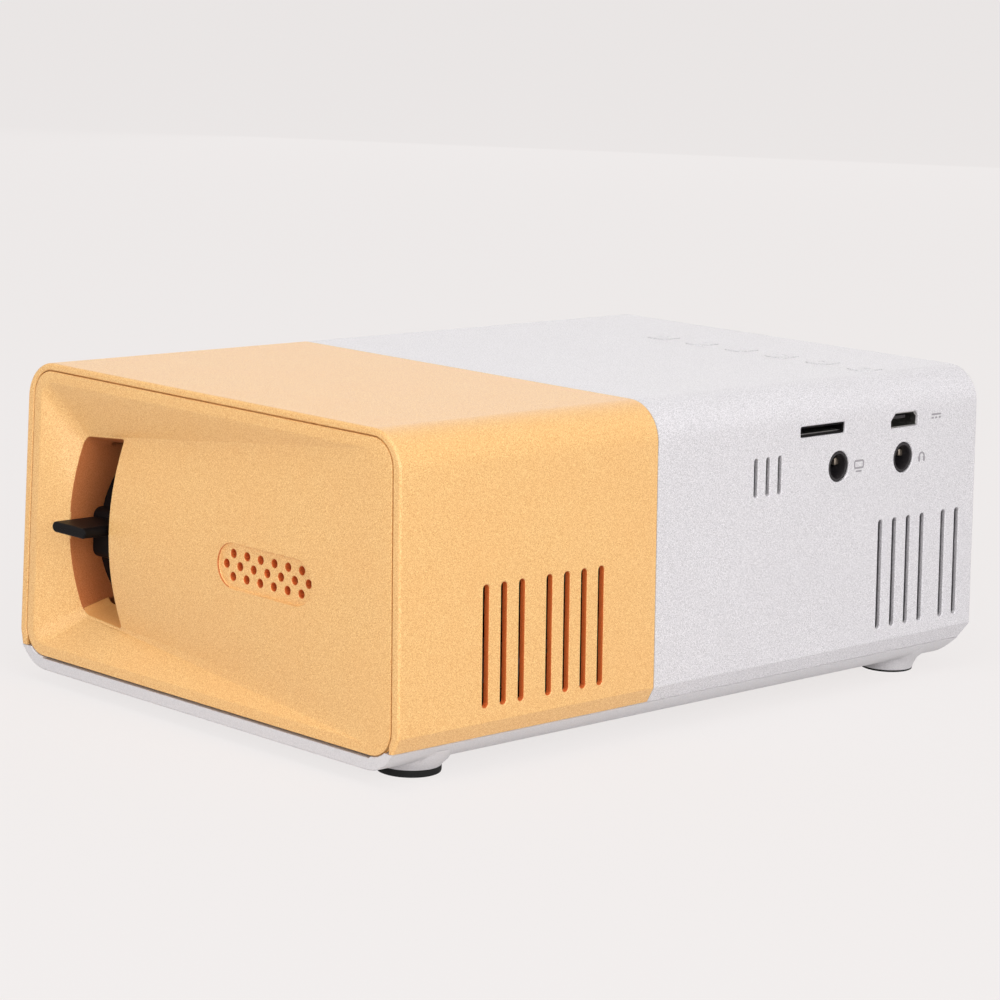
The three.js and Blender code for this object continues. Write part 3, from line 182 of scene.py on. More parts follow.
class ProjectorShells(bpy.types.PropertyGroup):
    wall: size("Wall", "Thickness of the shells", 1.8)
    top_fillet: size("Top fillet", "Radius between sides and roof", 5.8)
    end_fillet: size("End fillet", "Radius at the two ends", 0.4)
    fold_softness: size("Fold softness", "How far the fold above the base is rounded off", 0.15)
    tray_round: size("Tray rounding", "How far the base tray's lower edges are rounded off", 3.2)
    joint: size("Joint", "Gap between the orange and the white shell", 0.14)
    vent_width: size("Vent width", "Width of the orange shell's cooling slots", 1.2)
    white_vent_width: size("White vent width", "Width of the white shell's long cooling slots", 1.1)
    vent_edge: size("Vent edge", "How far the cooling slots' edges are eased", 0.14)
    vent_wall: size("Vent wall", "Thickness of the wall round the orange shell's cooling slots", 1.0)
    white_vent_wall: size("White vent wall", "Thickness of the wall round the white shell's cooling slots",
                          0.65)


class ProjectorEndFace(bpy.types.PropertyGroup):
    rim: size("Rim", "Width of the orange rim round the end face", 1.6)
    gap: size("Gap", "Gap between rim and end face", 0.15)
    corner: size("Corner", "Radius of the end face's corners", 4.0)
    margin: size("Margin", "Flat border round the dish", 1.5)
    wall: size("Wall", "Thickness of the end face", 2.0)
    deep: size("Deep", "Depth of the dish at the slot's two ends", 3.8)
    shallow: size("Shallow", "Depth of the dish half way up the slot", 1.2)
    edge: size("Edge", "Rounding of the slot's edge", 0.35)
    slot_bow: size("Slot bow", "How far the slot narrows at its ends", 0.6)
    holes: IntProperty(name="Holes", description="Holes in the grille's middle row", default=7)


class ProjectorSmallParts(bpy.types.PropertyGroup):
    lever_plate: size("Lever plate", "Thickness of the focus lever", 1.6)
    key_relief: size("Key relief", "Depth of the signs sunk into the keys", 0.06)
    sign_relief: size("Sign relief", "Thickness of the printed signs", 0.02)
    foot_edge: size("Foot edge", "Rounding of the rubber pads", 0.3)


GROUPS = {
    "projector_stage": ProjectorStage,
    "projector_finishes": ProjectorFinishes,
    "projector_shells": ProjectorShells,
    "projector_end_face": ProjectorEndFace,
    "projector_small_parts": ProjectorSmallParts,
}


# Selection and modelling helpers

def deselect():
    """Back to object mode with nothing selected."""
    if bpy.context.object and bpy.context.object.mode != "OBJECT":
        bpy.ops.object.mode_set(mode="OBJECT")
    bpy.ops.object.select_all(action="DESELECT")


def activate(piece):
    """Selects one piece alone and makes it active."""
    deselect()
    piece.select_set(True)
    bpy.context.view_layer.objects.active = piece


def pick(piece, kind, test):
    """Opens edit mode with the vertices, edges or faces selected whose test says so."""
    activate(piece)
    bpy.ops.object.mode_set(mode="EDIT")
    bpy.ops.mesh.select_mode(type=kind)
    bpy.ops.mesh.select_all(action="DESELECT")
    bpy.ops.object.mode_set(mode="OBJECT")
    mesh = piece.data
    if kind == "VERT":
        for vertex in mesh.vertices:
            vertex.select = test(vertex.co)
    elif kind == "EDGE":
        for edge in mesh.edges:
            edge.select = test(*[mesh.vertices[index].co for index in edge.vertices])
    else:
        for face in mesh.polygons:
            face.select = test(face.center, face.normal)
    bpy.ops.object.mode_set(mode="EDIT")


def close_up(piece, merge=True):
    """Merges what coincides, turns all faces outwards and leaves edit mode."""
    activate(piece)
    bpy.ops.object.mode_set(mode="EDIT")
    bpy.ops.mesh.select_all(action="SELECT")
    if merge:
        bpy.ops.mesh.remove_doubles(threshold=0.0005 * MM)
    bpy.ops.mesh.normals_make_consistent(inside=False)
    bpy.ops.object.mode_set(mode="OBJECT")
    return piece


def ring_piece(name, places, fill):
    """A circle primitive whose vertices are moved to the given places."""
    deselect()
    bpy.ops.mesh.primitive_circle_add(vertices=len(places), radius=MM, fill_type=fill, location=(0, 0, 0))
    piece = bpy.context.object
    piece.name = name
    for vertex, place in zip(piece.data.vertices, places):
        vertex.co = place
    return piece


def loft(name, rings, closed=False):
    """Skins rings with equal numbers of places, with flat ends or, if closed, joined into a ring of rings."""
    piece = ring_piece(name, rings[0], "NOTHING" if closed else "NGON")
    for before, after in zip(rings, rings[1:]):
        goal = {tuple(round(c, 7) for c in Vector(old)): new for old, new in zip(before, after)}
        bpy.ops.object.mode_set(mode="EDIT")
        if before is rings[0]:
            bpy.ops.mesh.select_all(action="SELECT")
        if closed:
            bpy.ops.mesh.extrude_edges_move()
        else:
            bpy.ops.mesh.extrude_region_move()
        bpy.ops.object.mode_set(mode="OBJECT")
        for vertex in piece.data.vertices:
            if vertex.select:
                vertex.co = goal[tuple(round(c, 7) for c in vertex.co)]
    if closed:
        ends = {tuple(round(c, 7) for c in Vector(place)) for ring in (rings[0], rings[-1]) for place in ring}
        pick(piece, "VERT", lambda co: tuple(round(c, 7) for c in co) in ends)
        bpy.ops.mesh.select_mode(type="EDGE")
        bpy.ops.mesh.bridge_edge_loops()
    return close_up(piece, merge=False)


def along(axis, outline, place):
    """An outline in millimetres, set square to an axis at one place along it."""
    turn_to = {"X": lambda a, b: spot(place, a, b), "Y": lambda a, b: spot(a, place, b),
               "Z": lambda a, b: spot(a, b, place)}[axis]
    return [turn_to(a, b) for a, b in outline]


def prism(name, axis, outline, low, high):
    """An outline drawn along an axis from one place to another."""
    return loft(name, [along(axis, outline, low), along(axis, outline, high)])


def turned(name, profile, axis, centre, steps=64):
    """A profile of (radius, place along the axis), spun round an axis through a centre in millimetres."""
    side = {"Y": lambda r, p: spot(centre[0] + r, p, centre[1]),
            "Z": lambda r, p: spot(centre[0] + r, centre[1], p)}[axis]
    piece = ring_piece(name, [side(r, p) for r, p in profile], "NOTHING")
    heart = side(0, 0)
    off_axis = 0.001 * MM
    pick(piece, "EDGE", lambda a, b: abs(a.x - heart.x) < off_axis and abs(b.x - heart.x) < off_axis)
    bpy.ops.mesh.delete(type="EDGE")
    bpy.ops.mesh.select_all(action="SELECT")
    line = (0, 1, 0) if axis == "Y" else (0, 0, 1)
    bpy.ops.mesh.spin(steps=steps, angle=2 * math.pi, center=heart, axis=line)
    return close_up(piece)


def joined(name, pieces):
    """Several pieces as one object, their meshes side by side."""
    deselect()
    for piece in pieces:
        piece.select_set(True)
    bpy.context.view_layer.objects.active = pieces[0]
    if len(pieces) > 1:
        bpy.ops.object.join()
    pieces[0].name = name
    return pieces[0]


def modify(piece, kind, **settings):
    """Adds a modifier and applies it."""
    activate(piece)
    bpy.ops.object.modifier_add(type=kind)
    modifier = piece.modifiers[-1]
    for name, value in settings.items():
        setattr(modifier, name, value)
    bpy.ops.object.modifier_apply(modifier=modifier.name)


def combine(piece, other, operation):
    """Cuts, adds or intersects another piece, which is used up."""
    modify(piece, "BOOLEAN", object=other, operation=operation, solver="EXACT")
    bpy.data.objects.remove(other)
    return piece


def soften(piece, test, width, segments=3):
    """Bevels the edges that pass the test."""
    pick(piece, "EDGE", test)
    bpy.ops.mesh.bevel(offset=width * MM, segments=segments, affect="EDGES", clamp_overlap=False)
    bpy.ops.object.mode_set(mode="OBJECT")


def copied(piece, name, shift):
    """A copy of a piece with its own mesh, moved by millimetres."""
    activate(piece)
    bpy.ops.object.duplicate(linked=False)
    twin = bpy.context.object
    twin.name = name
    pick(twin, "VERT", lambda co: True)
    bpy.ops.transform.translate(value=[step * MM for step in shift])
    bpy.ops.object.mode_set(mode="OBJECT")
    return twin


def keep_behind_end(piece):
    """Moves back what a bevel's corner pushed out past the white end."""
    end = spot(-END_X, 0, 0).x
    for vertex in piece.data.vertices:
        vertex.co.x = max(vertex.co.x, end)


def paint_light_and_shade(piece, painted_finish, test):
    """Gives the faces that pass the test a second material, painted shade in a hollow or painted light."""
    piece.data.materials.append(painted_finish)
    pick(piece, "FACE", test)
    piece.active_material_index = len(piece.data.materials) - 1
    bpy.ops.object.material_slot_assign()
    bpy.ops.object.mode_set(mode="OBJECT")


def finished(piece, name, finish, body="body", nodes=(), angle=32):
    """Names, shades and dresses a piece, and hangs it on its body."""
    if not piece.data.polygons:
        raise ValueError(f"{name} has no faces")
    piece.name = piece.data.name = name
    piece.data.materials.clear()
    piece.data.materials.append(finish)
    activate(piece)
    bpy.ops.object.shade_smooth_by_angle(angle=math.radians(angle))
    modify(piece, "WEIGHTED_NORMAL", mode="FACE_AREA", keep_sharp=True)
    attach(piece, body)
    if nodes:
        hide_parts(*nodes)
    return piece


# Outlines in millimetres

def mixed(a, b, share):
    """The place a share of the way from a to b."""
    return tuple(p + (q - p) * share for p, q in zip(a, b))


def arc(a, b, radius, start, end, steps):
    """Places round a centre from one angle to another, in degrees."""
    angles = [math.radians(start + (end - start) * step / steps) for step in range(steps + 1)]
    return [(a + radius * math.cos(t), b + radius * math.sin(t)) for t in angles]


def cornered(corners, grow=0, steps=6, sides=1):
    """Four round corners (a, b, radius), from the lower right anticlockwise, joined by straight sides."""
    corners = [arc(a, b, radius + grow, 90 * (turn - 1), 90 * turn, steps)
               for turn, (a, b, radius) in enumerate(corners)]
    outline = []
    for corner, after in zip(corners, corners[1:] + corners[:1]):
        outline += corner + [mixed(corner[-1], after[0], step / sides) for step in range(1, sides)]
    return outline


def rounded(left, right, low, high, radius, steps=6, sides=1):
    """A rectangle with round corners."""
    a, b, c, d = left + radius, right - radius, low + radius, high - radius
    return cornered([(b, c, radius), (b, d, radius), (a, d, radius), (a, c, radius)], 0, steps, sides)


def circle(a, b, radius, steps):
    """A round outline."""
    return arc(a, b, radius, 0, 360 - 360 / steps, steps - 1)


def softened(before, corner, after, length, steps=3):
    """Rounds one corner of an outline off over a length on both sides."""
    start = mixed(corner, before, length / math.dist(corner, before))
    end = mixed(corner, after, length / math.dist(corner, after))
    shares = [step / steps for step in range(steps + 1)]
    return [mixed(mixed(start, corner, share), mixed(corner, end, share), share) for share in shares]


def mirrored(right, left=None):
    """A whole outline from its right half, which runs upwards, and the other half if that is not the same."""
    return right + [(-a, b) for a, b in reversed(left or right)]


# The body's cross-section in Y and Z

def half_at(z):
    """Half the body's depth at a height above the fold."""
    return FOLD_Y - DRAFT_SHARE * (z - FOLD_Z)


def roof_arc(fillet, inset, steps=14):
    """The fillet between side and roof, from the side up."""
    centre_z = TOP_Z - fillet
    return arc(half_at(centre_z) - fillet, centre_z, fillet - inset, 0, 90, steps)


def shell_outline(sizes, low):
    """Outside of the shells from a height upwards, with a soft fold; the lens side turns in less."""
    fillet, softness = mm(sizes.top_fillet), mm(sizes.fold_softness)
    share = (low - SEAM_Z) / (FOLD_Z - SEAM_Z)
    halves = []
    for inset in (SEAM_INSET, FRONT_SEAM_INSET):
        foot = (FOLD_Y - inset * (1 - share), low)
        fold = softened(foot, (FOLD_Y, FOLD_Z), (half_at(2 * FOLD_Z), 2 * FOLD_Z), softness)
        halves.append([foot, *fold, *roof_arc(fillet, 0)])
    return mirrored(*halves)


def room_outline(sizes, inset):
    """Inside of the shells, a wall's thickness in and open downwards."""
    return mirrored([(FOLD_Y - inset, -OVERRUN), (FOLD_Y - inset, FOLD_Z),
                     *roof_arc(mm(sizes.top_fillet), inset)])


def end_outline(sizes, grow, steps=8, sides=1):
    """Outline of the end face, grown or shrunk all round."""
    corner = mm(sizes.corner)
    low, high = PANEL_LOW_Z + corner, PANEL_HIGH_Z - corner
    low_half, high_half = (half_at(z) - mm(sizes.rim) - corner for z in (low, high))
    corners = [(low_half, low, corner), (high_half, high, corner), (-high_half, high, corner),
               (-low_half, low, corner)]
    return cornered(corners, grow, steps, sides)


def mouth_cutter(sizes):
    """What the end face's seat takes out of shells and base, with an eased outer edge."""
    gap, ease = mm(sizes.gap), 0.14
    back = END_X - mm(sizes.wall) - gap
    rings = [(gap, back), (gap, END_X - ease), (gap + ease, END_X), (gap + ease, END_X + OVERRUN)]
    return loft("mouth", [along("X", end_outline(sizes, grow), x) for grow, x in rings])


def pill(x, low, high, width, steps=6):
    """An upright slot with round ends."""
    return rounded(x - width / 2, x + width / 2, low, high, width / 2, steps)


def on_side(name, layers):
    """A solid on the rear side's slope, from layers of (outline, height above the surface)."""
    return loft(name, [[spot(a, half_at(b) + out, b) for a, b in outline] for outline, out in layers])


def side_cutter(name, outline, deep, ease, grown):
    """A cutter through the rear side that follows its slope, wider by an eased edge at the surface."""
    return on_side(name, [(outline, -deep), (outline, -ease), (grown, 0.01), (grown, OVERRUN)])


def slot_places(groups, pitch, group_gap, centre):
    """Places of slots in groups, about a centre."""
    span = sum(count - 1 for count in groups) * pitch + (len(groups) - 1) * group_gap
    place = centre + span / 2
    places = []
    for count in groups:
        places += [place - slot * pitch for slot in range(count)]
        place -= (count - 1) * pitch + group_gap
    return places


# Cooling slots, the focus slot with its well, the grille, the step inside the joint, screws, board and jacks
VENT_LOW, VENT_HIGH, VENT_PITCH, VENT_GROUP_GAP = 9.5, 26.7, 3.48, 5.42
SMALL_VENT_LOW, SMALL_VENT_HIGH, SMALL_VENT_PITCH, SMALL_VENT_WIDTH = 33.05, 38.9, 2.72, 0.85
WHITE_VENT_X, SMALL_VENT_X = -48.8, -11.9
SLOT_LEFT, SLOT_RIGHT, SLOT_LOW, SLOT_HIGH = -31.9, -22.6, 11.0, 38.65
WELL_DEPTH, WELL_DEPTH_LEFT, WELL_RAMP = 8.4, 12.6, 1.2
GRILLE_Y, GRILLE_HALF, GRILLE_RISE, GRILLE_FLOOR = 13.2, 10.2, 3.3, 1.1
GRILLE_HOLE, GRILLE_PITCH, GRILLE_ROW = 0.65, 2.9, 1.65
STEP_INSET, STEP_LENGTH = 1.45, 2.0
SCREW_Y, COLUMN_RADIUS, ORANGE_SCREW_X, WHITE_SCREW_X = 34.5, 2.2, 15.8, -36.0
BOARD_LOW_Z, BOARD_HIGH_Z = reach("main_board")[0][2], reach("main_board")[1][2]
JACK_PLACES = [middle(name)[0] for name in ("av_jack", "headphone_jack")]
JACK_Z, JACK_HOLE = BOARD_LOW_Z - 2.9, 2.4
WINDOW_RADIUS = 2.4
THIN_PAD = 0.5
PAD_NAMES = [f"foot_pad_{end}_{side}" for end in ("orange", "white") for side in ("front", "rear")]


def card_outline(grow):
    """The memory card's slot in X and Z."""
    x, low = middle("card_socket")[0], BOARD_HIGH_Z + 0.6
    return rounded(x - 5.25 - grow, x + 5.25 + grow, low - grow, low + 1.7 + grow, max(0.08, 0.3 + grow), 3)


def power_outline(grow):
    """The power socket's mouth in X and Z, its upper corners cut off."""
    x, half, cut_off, far_cut = middle("power_socket")[0], 3.3 + grow, 1.2, 0.6
    low, high = BOARD_HIGH_Z + 0.3 - grow, BOARD_HIGH_Z + 2.5 + grow
    return [(x + half, low), (x + half, high - cut_off), (x + half - cut_off, high),
            (x - half + far_cut, high), (x - half, high - far_cut), (x - half, low)]


def hdmi_outline(grow):
    """The picture socket's mouth in Y and Z, its lower corners cut off."""
    y, half, cut_off = middle("hdmi_socket")[1], 7.5 + grow, 1.6
    high, low = BOARD_LOW_Z - 0.35 + grow, BOARD_LOW_Z - 5.95 - grow
    return [(y + half, high), (y - half, high), (y - half, low + cut_off), (y - half + cut_off, low),
            (y + half - cut_off, low), (y + half, low + cut_off)]


def usb_outline(grow):
    """The data socket's mouth in Y and Z."""
    y, half = middle("usb_socket")[1], 6.6 + grow
    high, low = BOARD_LOW_Z - 0.35 + grow, BOARD_LOW_Z - 6.55 - grow
    return rounded(y - half, y + half, low, high, 0.3 + grow, 2)


def key_outline(name, grow):
    """A key's outline in X and Y."""
    x, y, _ = middle(name)
    return rounded(x - 2.5 - grow, x + 2.5 + grow, y - 2 - grow, y + 2 + grow, 1.2 + grow)


def end_slope():
    """What the white end loses below the fold, in X and Z."""
    return [(-END_X - OVERRUN, BASE_Z - OVERRUN), (BASE_INSET + OVERRUN - END_X, BASE_Z - OVERRUN),
            (BASE_INSET - END_X, BASE_Z), (SEAM_INSET - END_X, SEAM_Z), (-END_X, FOLD_Z),
            (-END_X - OVERRUN, FOLD_Z + OVERRUN)]


def vents(sizes, places, width, low, high):
    """One cutter for a row of cooling slots."""
    deep, ease = 2 * mm(sizes.wall), mm(sizes.vent_edge)
    return joined("vents", [
        side_cutter("vent", pill(x, low, high, width), deep, ease,
                    pill(x, low - ease, high + ease, width + 2 * ease)) for x in places])


def vent_pocket(sizes, left, places, low, high):
    """What thins the wall from inside to what is left round cooling slots, so that the dark inside shows."""
    pocket = rounded(min(places) - 2, max(places) + 2, low - 1.5, high + 1.5, 1.0, 3)
    return on_side("pocket", [(pocket, -OVERRUN - mm(sizes.wall)), (pocket, -mm(left))])


# Materials

def add_node(tree, kind, sockets=None, **settings):
    """Adds a node with its settings; sockets holds values, or outputs to link from."""
    node = tree.nodes.new(kind)
    for name, value in settings.items():
        setattr(node, name, value)
    for name, value in (sockets or {}).items():
        if isinstance(value, bpy.types.NodeSocket):
            tree.links.new(value, node.inputs[name])
        else:
            node.inputs[name].default_value = value
    return node


def blank(name, **sockets):
    """A new material: its node tree, its shader and its object coordinates."""
    made = bpy.data.materials.new(name)
    made.use_nodes = True
    tree = made.node_tree
    shader = tree.nodes["Principled BSDF"]
    for socket, value in sockets.items():
        shader.inputs[socket.replace("_", " ")].default_value = value
    return made, tree, shader, add_node(tree, "ShaderNodeTexCoord").outputs["Object"]


def scale_for(width):
    """The texture scale that gives a pattern of that width in metres."""
    return 1 / width


def shaded(colour_value, step):
    """A linear colour made lighter or darker by a step on the sRGB scale, the same in all three channels."""
    codes = [(c * 12.92 if c <= 0.0031308 else 1.055 * c ** (1 / 2.4) - 0.055) for c in colour_value[:3]]
    codes = [min(255, max(0, round(255 * (code + step)))) for code in codes]
    return linear("{:02X}{:02X}{:02X}".format(*codes))


def speckled(tree, coordinates, colour_value, width, amount):
    """A colour that varies a little from grain to grain and slowly over the surface."""
    # The noise's own grid is turned, so that no flat side lies along it and shows bands
    turned_grid = add_node(tree, "ShaderNodeMapping", {"Vector": coordinates, "Rotation": (0.6, 0.4, 0.8)})
    askew = turned_grid.outputs["Vector"]
    fine = add_node(tree, "ShaderNodeTexNoise",
                    {"Vector": askew, "Scale": scale_for(width), "Detail": 2.0, "Roughness": 0.6})
    broad = add_node(tree, "ShaderNodeTexNoise",
                     {"Vector": askew, "Scale": scale_for(60 * width), "Detail": 2.0, "Roughness": 0.5})
    dark, light = shaded(colour_value, -amount), shaded(colour_value, amount)
    spread = add_node(tree, "ShaderNodeMapRange",
                      {"Value": fine.outputs["Fac"], "From Min": 0.3, "From Max": 0.7})
    speck = add_node(tree, "ShaderNodeMix", {0: spread.outputs["Result"], 6: dark, 7: light},
                     data_type="RGBA")
    haze = shaded(colour_value, -0.25 * amount)
    share = add_node(tree, "ShaderNodeMath", {0: broad.outputs["Fac"], 1: 0.3}, operation="MULTIPLY")
    mixed_in = add_node(tree, "ShaderNodeMix", {0: share.outputs[0], 6: speck.outputs[2], 7: haze},
                        data_type="RGBA")
    return mixed_in.outputs[2], fine.outputs["Fac"]


def moulded_plastic(name, colour_value, width, roughness=0.5, amount=0.05, relief=0.03, specular=0.5):
    """Injection-moulded ABS from a spark-eroded tool: a matt, sandy grain with a faint sparkle."""
    made, tree, shader, coordinates = blank(name, Roughness=roughness, Specular_IOR_Level=specular)
    colour_out, height = speckled(tree, coordinates, colour_value, width, amount)
    bump = add_node(tree, "ShaderNodeBump", {"Height": height, "Strength": 1.0, "Distance": relief * MM})
    tree.links.new(colour_out, shader.inputs["Base Color"])
    tree.links.new(bump.outputs["Normal"], shader.inputs["Normal"])
    return made


def metal(name, code, roughness, width, relief=0.004):
    """Plated or turned metal: plain metallic shine broken by fine marks."""
    made, tree, shader, coordinates = blank(name, Metallic=1.0)
    marks = add_node(tree, "ShaderNodeTexNoise",
                     {"Vector": coordinates, "Scale": scale_for(width), "Detail": 4.0, "Roughness": 0.6})
    gloss = add_node(tree, "ShaderNodeMapRange", {"Value": marks.outputs["Fac"], "To Min": roughness * 0.8,
                                                  "To Max": roughness * 1.3})
    bump = add_node(tree, "ShaderNodeBump",
                    {"Height": marks.outputs["Fac"], "Strength": 0.6, "Distance": relief * MM})
    shader.inputs["Base Color"].default_value = linear(code)
    tree.links.new(gloss.outputs["Result"], shader.inputs["Roughness"])
    tree.links.new(bump.outputs["Normal"], shader.inputs["Normal"])
    return made


def lens_glass(name, code, coat_code):
    """Optical glass or clear acrylic: nearly colourless, with a tinted anti-reflection coat."""
    made, tree, shader, coordinates = blank(
        name, Roughness=0.03, IOR=1.5, Transmission_Weight=0.85, Coat_Weight=0.6, Coat_Roughness=0.04)
    edge = add_node(tree, "ShaderNodeLayerWeight", {"Blend": 0.35})
    haze = add_node(tree, "ShaderNodeTexNoise",
                    {"Vector": coordinates, "Scale": scale_for(4 * MM), "Detail": 2.0})
    share = add_node(tree, "ShaderNodeMath", {0: edge.outputs["Facing"], 1: haze.outputs["Fac"]},
                     operation="MULTIPLY")
    tint = add_node(tree, "ShaderNodeMix", {0: share.outputs[0], 6: linear(code), 7: linear(coat_code)},
                    data_type="RGBA")
    tree.links.new(tint.outputs[2], shader.inputs["Base Color"])
    return made


def fibreglass_board(name):
    """Epoxy and woven glass under green lacquer: satin, with the weave just showing."""
    made, tree, shader, coordinates = blank(name, Roughness=0.35, Coat_Weight=0.3)
    weave = add_node(tree, "ShaderNodeTexWave", {"Vector": coordinates, "Scale": scale_for(2.4 * MM),
                                                 "Distortion": 0.4}, bands_direction="DIAGONAL")
    tint = add_node(tree, "ShaderNodeMix",
                    {0: weave.outputs["Fac"], 6: linear("1B5236"), 7: linear("24633F")}, data_type="RGBA")
    tree.links.new(tint.outputs[2], shader.inputs["Base Color"])
    return made


def build_finishes(finishes):
    """All materials by name, from the colours and the grain that the user set."""
    grain = finishes.grain
    return {
        # Warm matt shell whose sandy grain breaks the light up
        "orange": moulded_plastic("Orange moulded ABS", tuple(finishes.orange), grain, 0.36, 0.15, 0.045),
        # Painted shade: the deeper orange that light takes on between the close walls of slots and holes
        "hollow": moulded_plastic("Orange ABS with painted shade in the hollows", tuple(finishes.hollow), grain, 0.5, 0.06, 0.03,
                                  0.2),
        # Painted shade in the wide focus slot too, duller because more grey daylight falls in
        "well": moulded_plastic("Orange ABS with painted shade in the focus slot", tuple(finishes.well), grain, 0.5, 0.06, 0.03,
                                0.2),
        # Painted light on the slot's lower wall, brighter because it faces up
        "slot_floor_painted_light": moulded_plastic("Orange ABS with painted light on the slot's floor", tuple(finishes.slot_floor_painted_light), grain,
                                      0.5, 0.06, 0.03, 0.2),
        # Cool matt shell with the same sandy grain as the orange one
        "white": moulded_plastic("White moulded ABS", tuple(finishes.white), grain, 0.36, 0.14, 0.045),
        # Deep black with hardly any shine, so that lever and lens mount read as dark shapes
        "nylon": moulded_plastic("Black glass-filled nylon", tuple(finishes.black), 0.8 * grain, 0.45, 0.02,
                                 0.01, 0.08),
        # The base looks smoother than the shells, nearly without grain
        "tray": moulded_plastic("Smooth white ABS", tuple(finishes.tray), grain, 0.4, 0.05, 0.01),
        # Dark grey rings that stand off from the black bore inside them
        "jack": moulded_plastic("Dark grey jack plastic", tuple(finishes.jack), 0.6 * grain, 0.4, 0.02, 0.006,
                                0.3),
        # A polished, nearly black window with a faint red depth
        "gloss": moulded_plastic("Dark infrared acrylic", linear("1A0F16"), 6 * grain, 0.08, 0.01, 0.001),
        # Dull soft black that gives no highlight at all
        "rubber": moulded_plastic("Black rubber", linear("1A1A1A"), 0.7 * grain, 0.8, 0.03, 0.03, 0.2),
        # Flat grey ink, without relief of its own
        "sign": moulded_plastic("Grey printing ink", tuple(finishes.sign), 0.5 * grain, 0.6, 0.04, 0.004),
        # The pale yellow of a white lamp that is off
        "phosphor": moulded_plastic("Lamp phosphor", linear("EFDF8F"), grain, 0.5, 0.05, 0.01),
        # Shiny amber foil
        "film": moulded_plastic("Amber polyimide film", linear("A8682A"), 8 * grain, 0.25, 0.05, 0.002),
        # Bright, slightly warm metal of socket shells and screws
        "steel": metal("Nickel-plated steel", "B4B3B0", 0.28, 0.5 * MM),
        # Dull brownish metal, a glint of it deep in each jack
        "tinned": metal("Tinned spring bronze", "A3978A", 0.5, 0.3 * MM),
        # Yellow metal with a soft turned shine
        "brass": metal("Turned brass", "C8A766", 0.3, 0.4 * MM),
        # Pale grey metal with a rough casting skin
        "aluminium": metal("Cast aluminium", "C2C4C6", 0.38, 0.6 * MM, 0.01),
        # Clear glass whose rim shimmers violet
        "glass": lens_glass("Coated lens glass", "EEF3F5", "7A5CC8"),
        # Clear sheet with a nearly colourless rim
        "acrylic": lens_glass("Clear acrylic", "F2F6F6", "DDE8EA"),
        # Satin green with the weave just showing
        "board": fibreglass_board("Green lacquered fibreglass"),
    }


def finish(name):
    """One of the finishes, made on first use."""
    if not MADE:
        MADE.update(build_finishes(bpy.context.scene.projector_finishes))
    return MADE[name]


MADE = {}

# Finish of each CAD node that stays as it is
KEPT_NODES = {
    "nylon": ["lens_sleeve", "light_box", "light_box_lid", "speaker_frame", "speaker_cone", "fan_frame",
              "fan_rotor", "ir_receiver"],
    "acrylic": ["front_fresnel_lens", "rear_fresnel_lens", "condenser_lens"],
    "gloss": ["picture_panel"],
    "film": ["picture_ribbon"],
    "phosphor": ["led_emitter"],
    "aluminium": ["led_board", "heat_sink"],
    "board": ["main_board"],
    "steel": [f"key_switch_{number}" for number in range(1, 7)] + ["board_screw_1", "board_screw_2"],
}


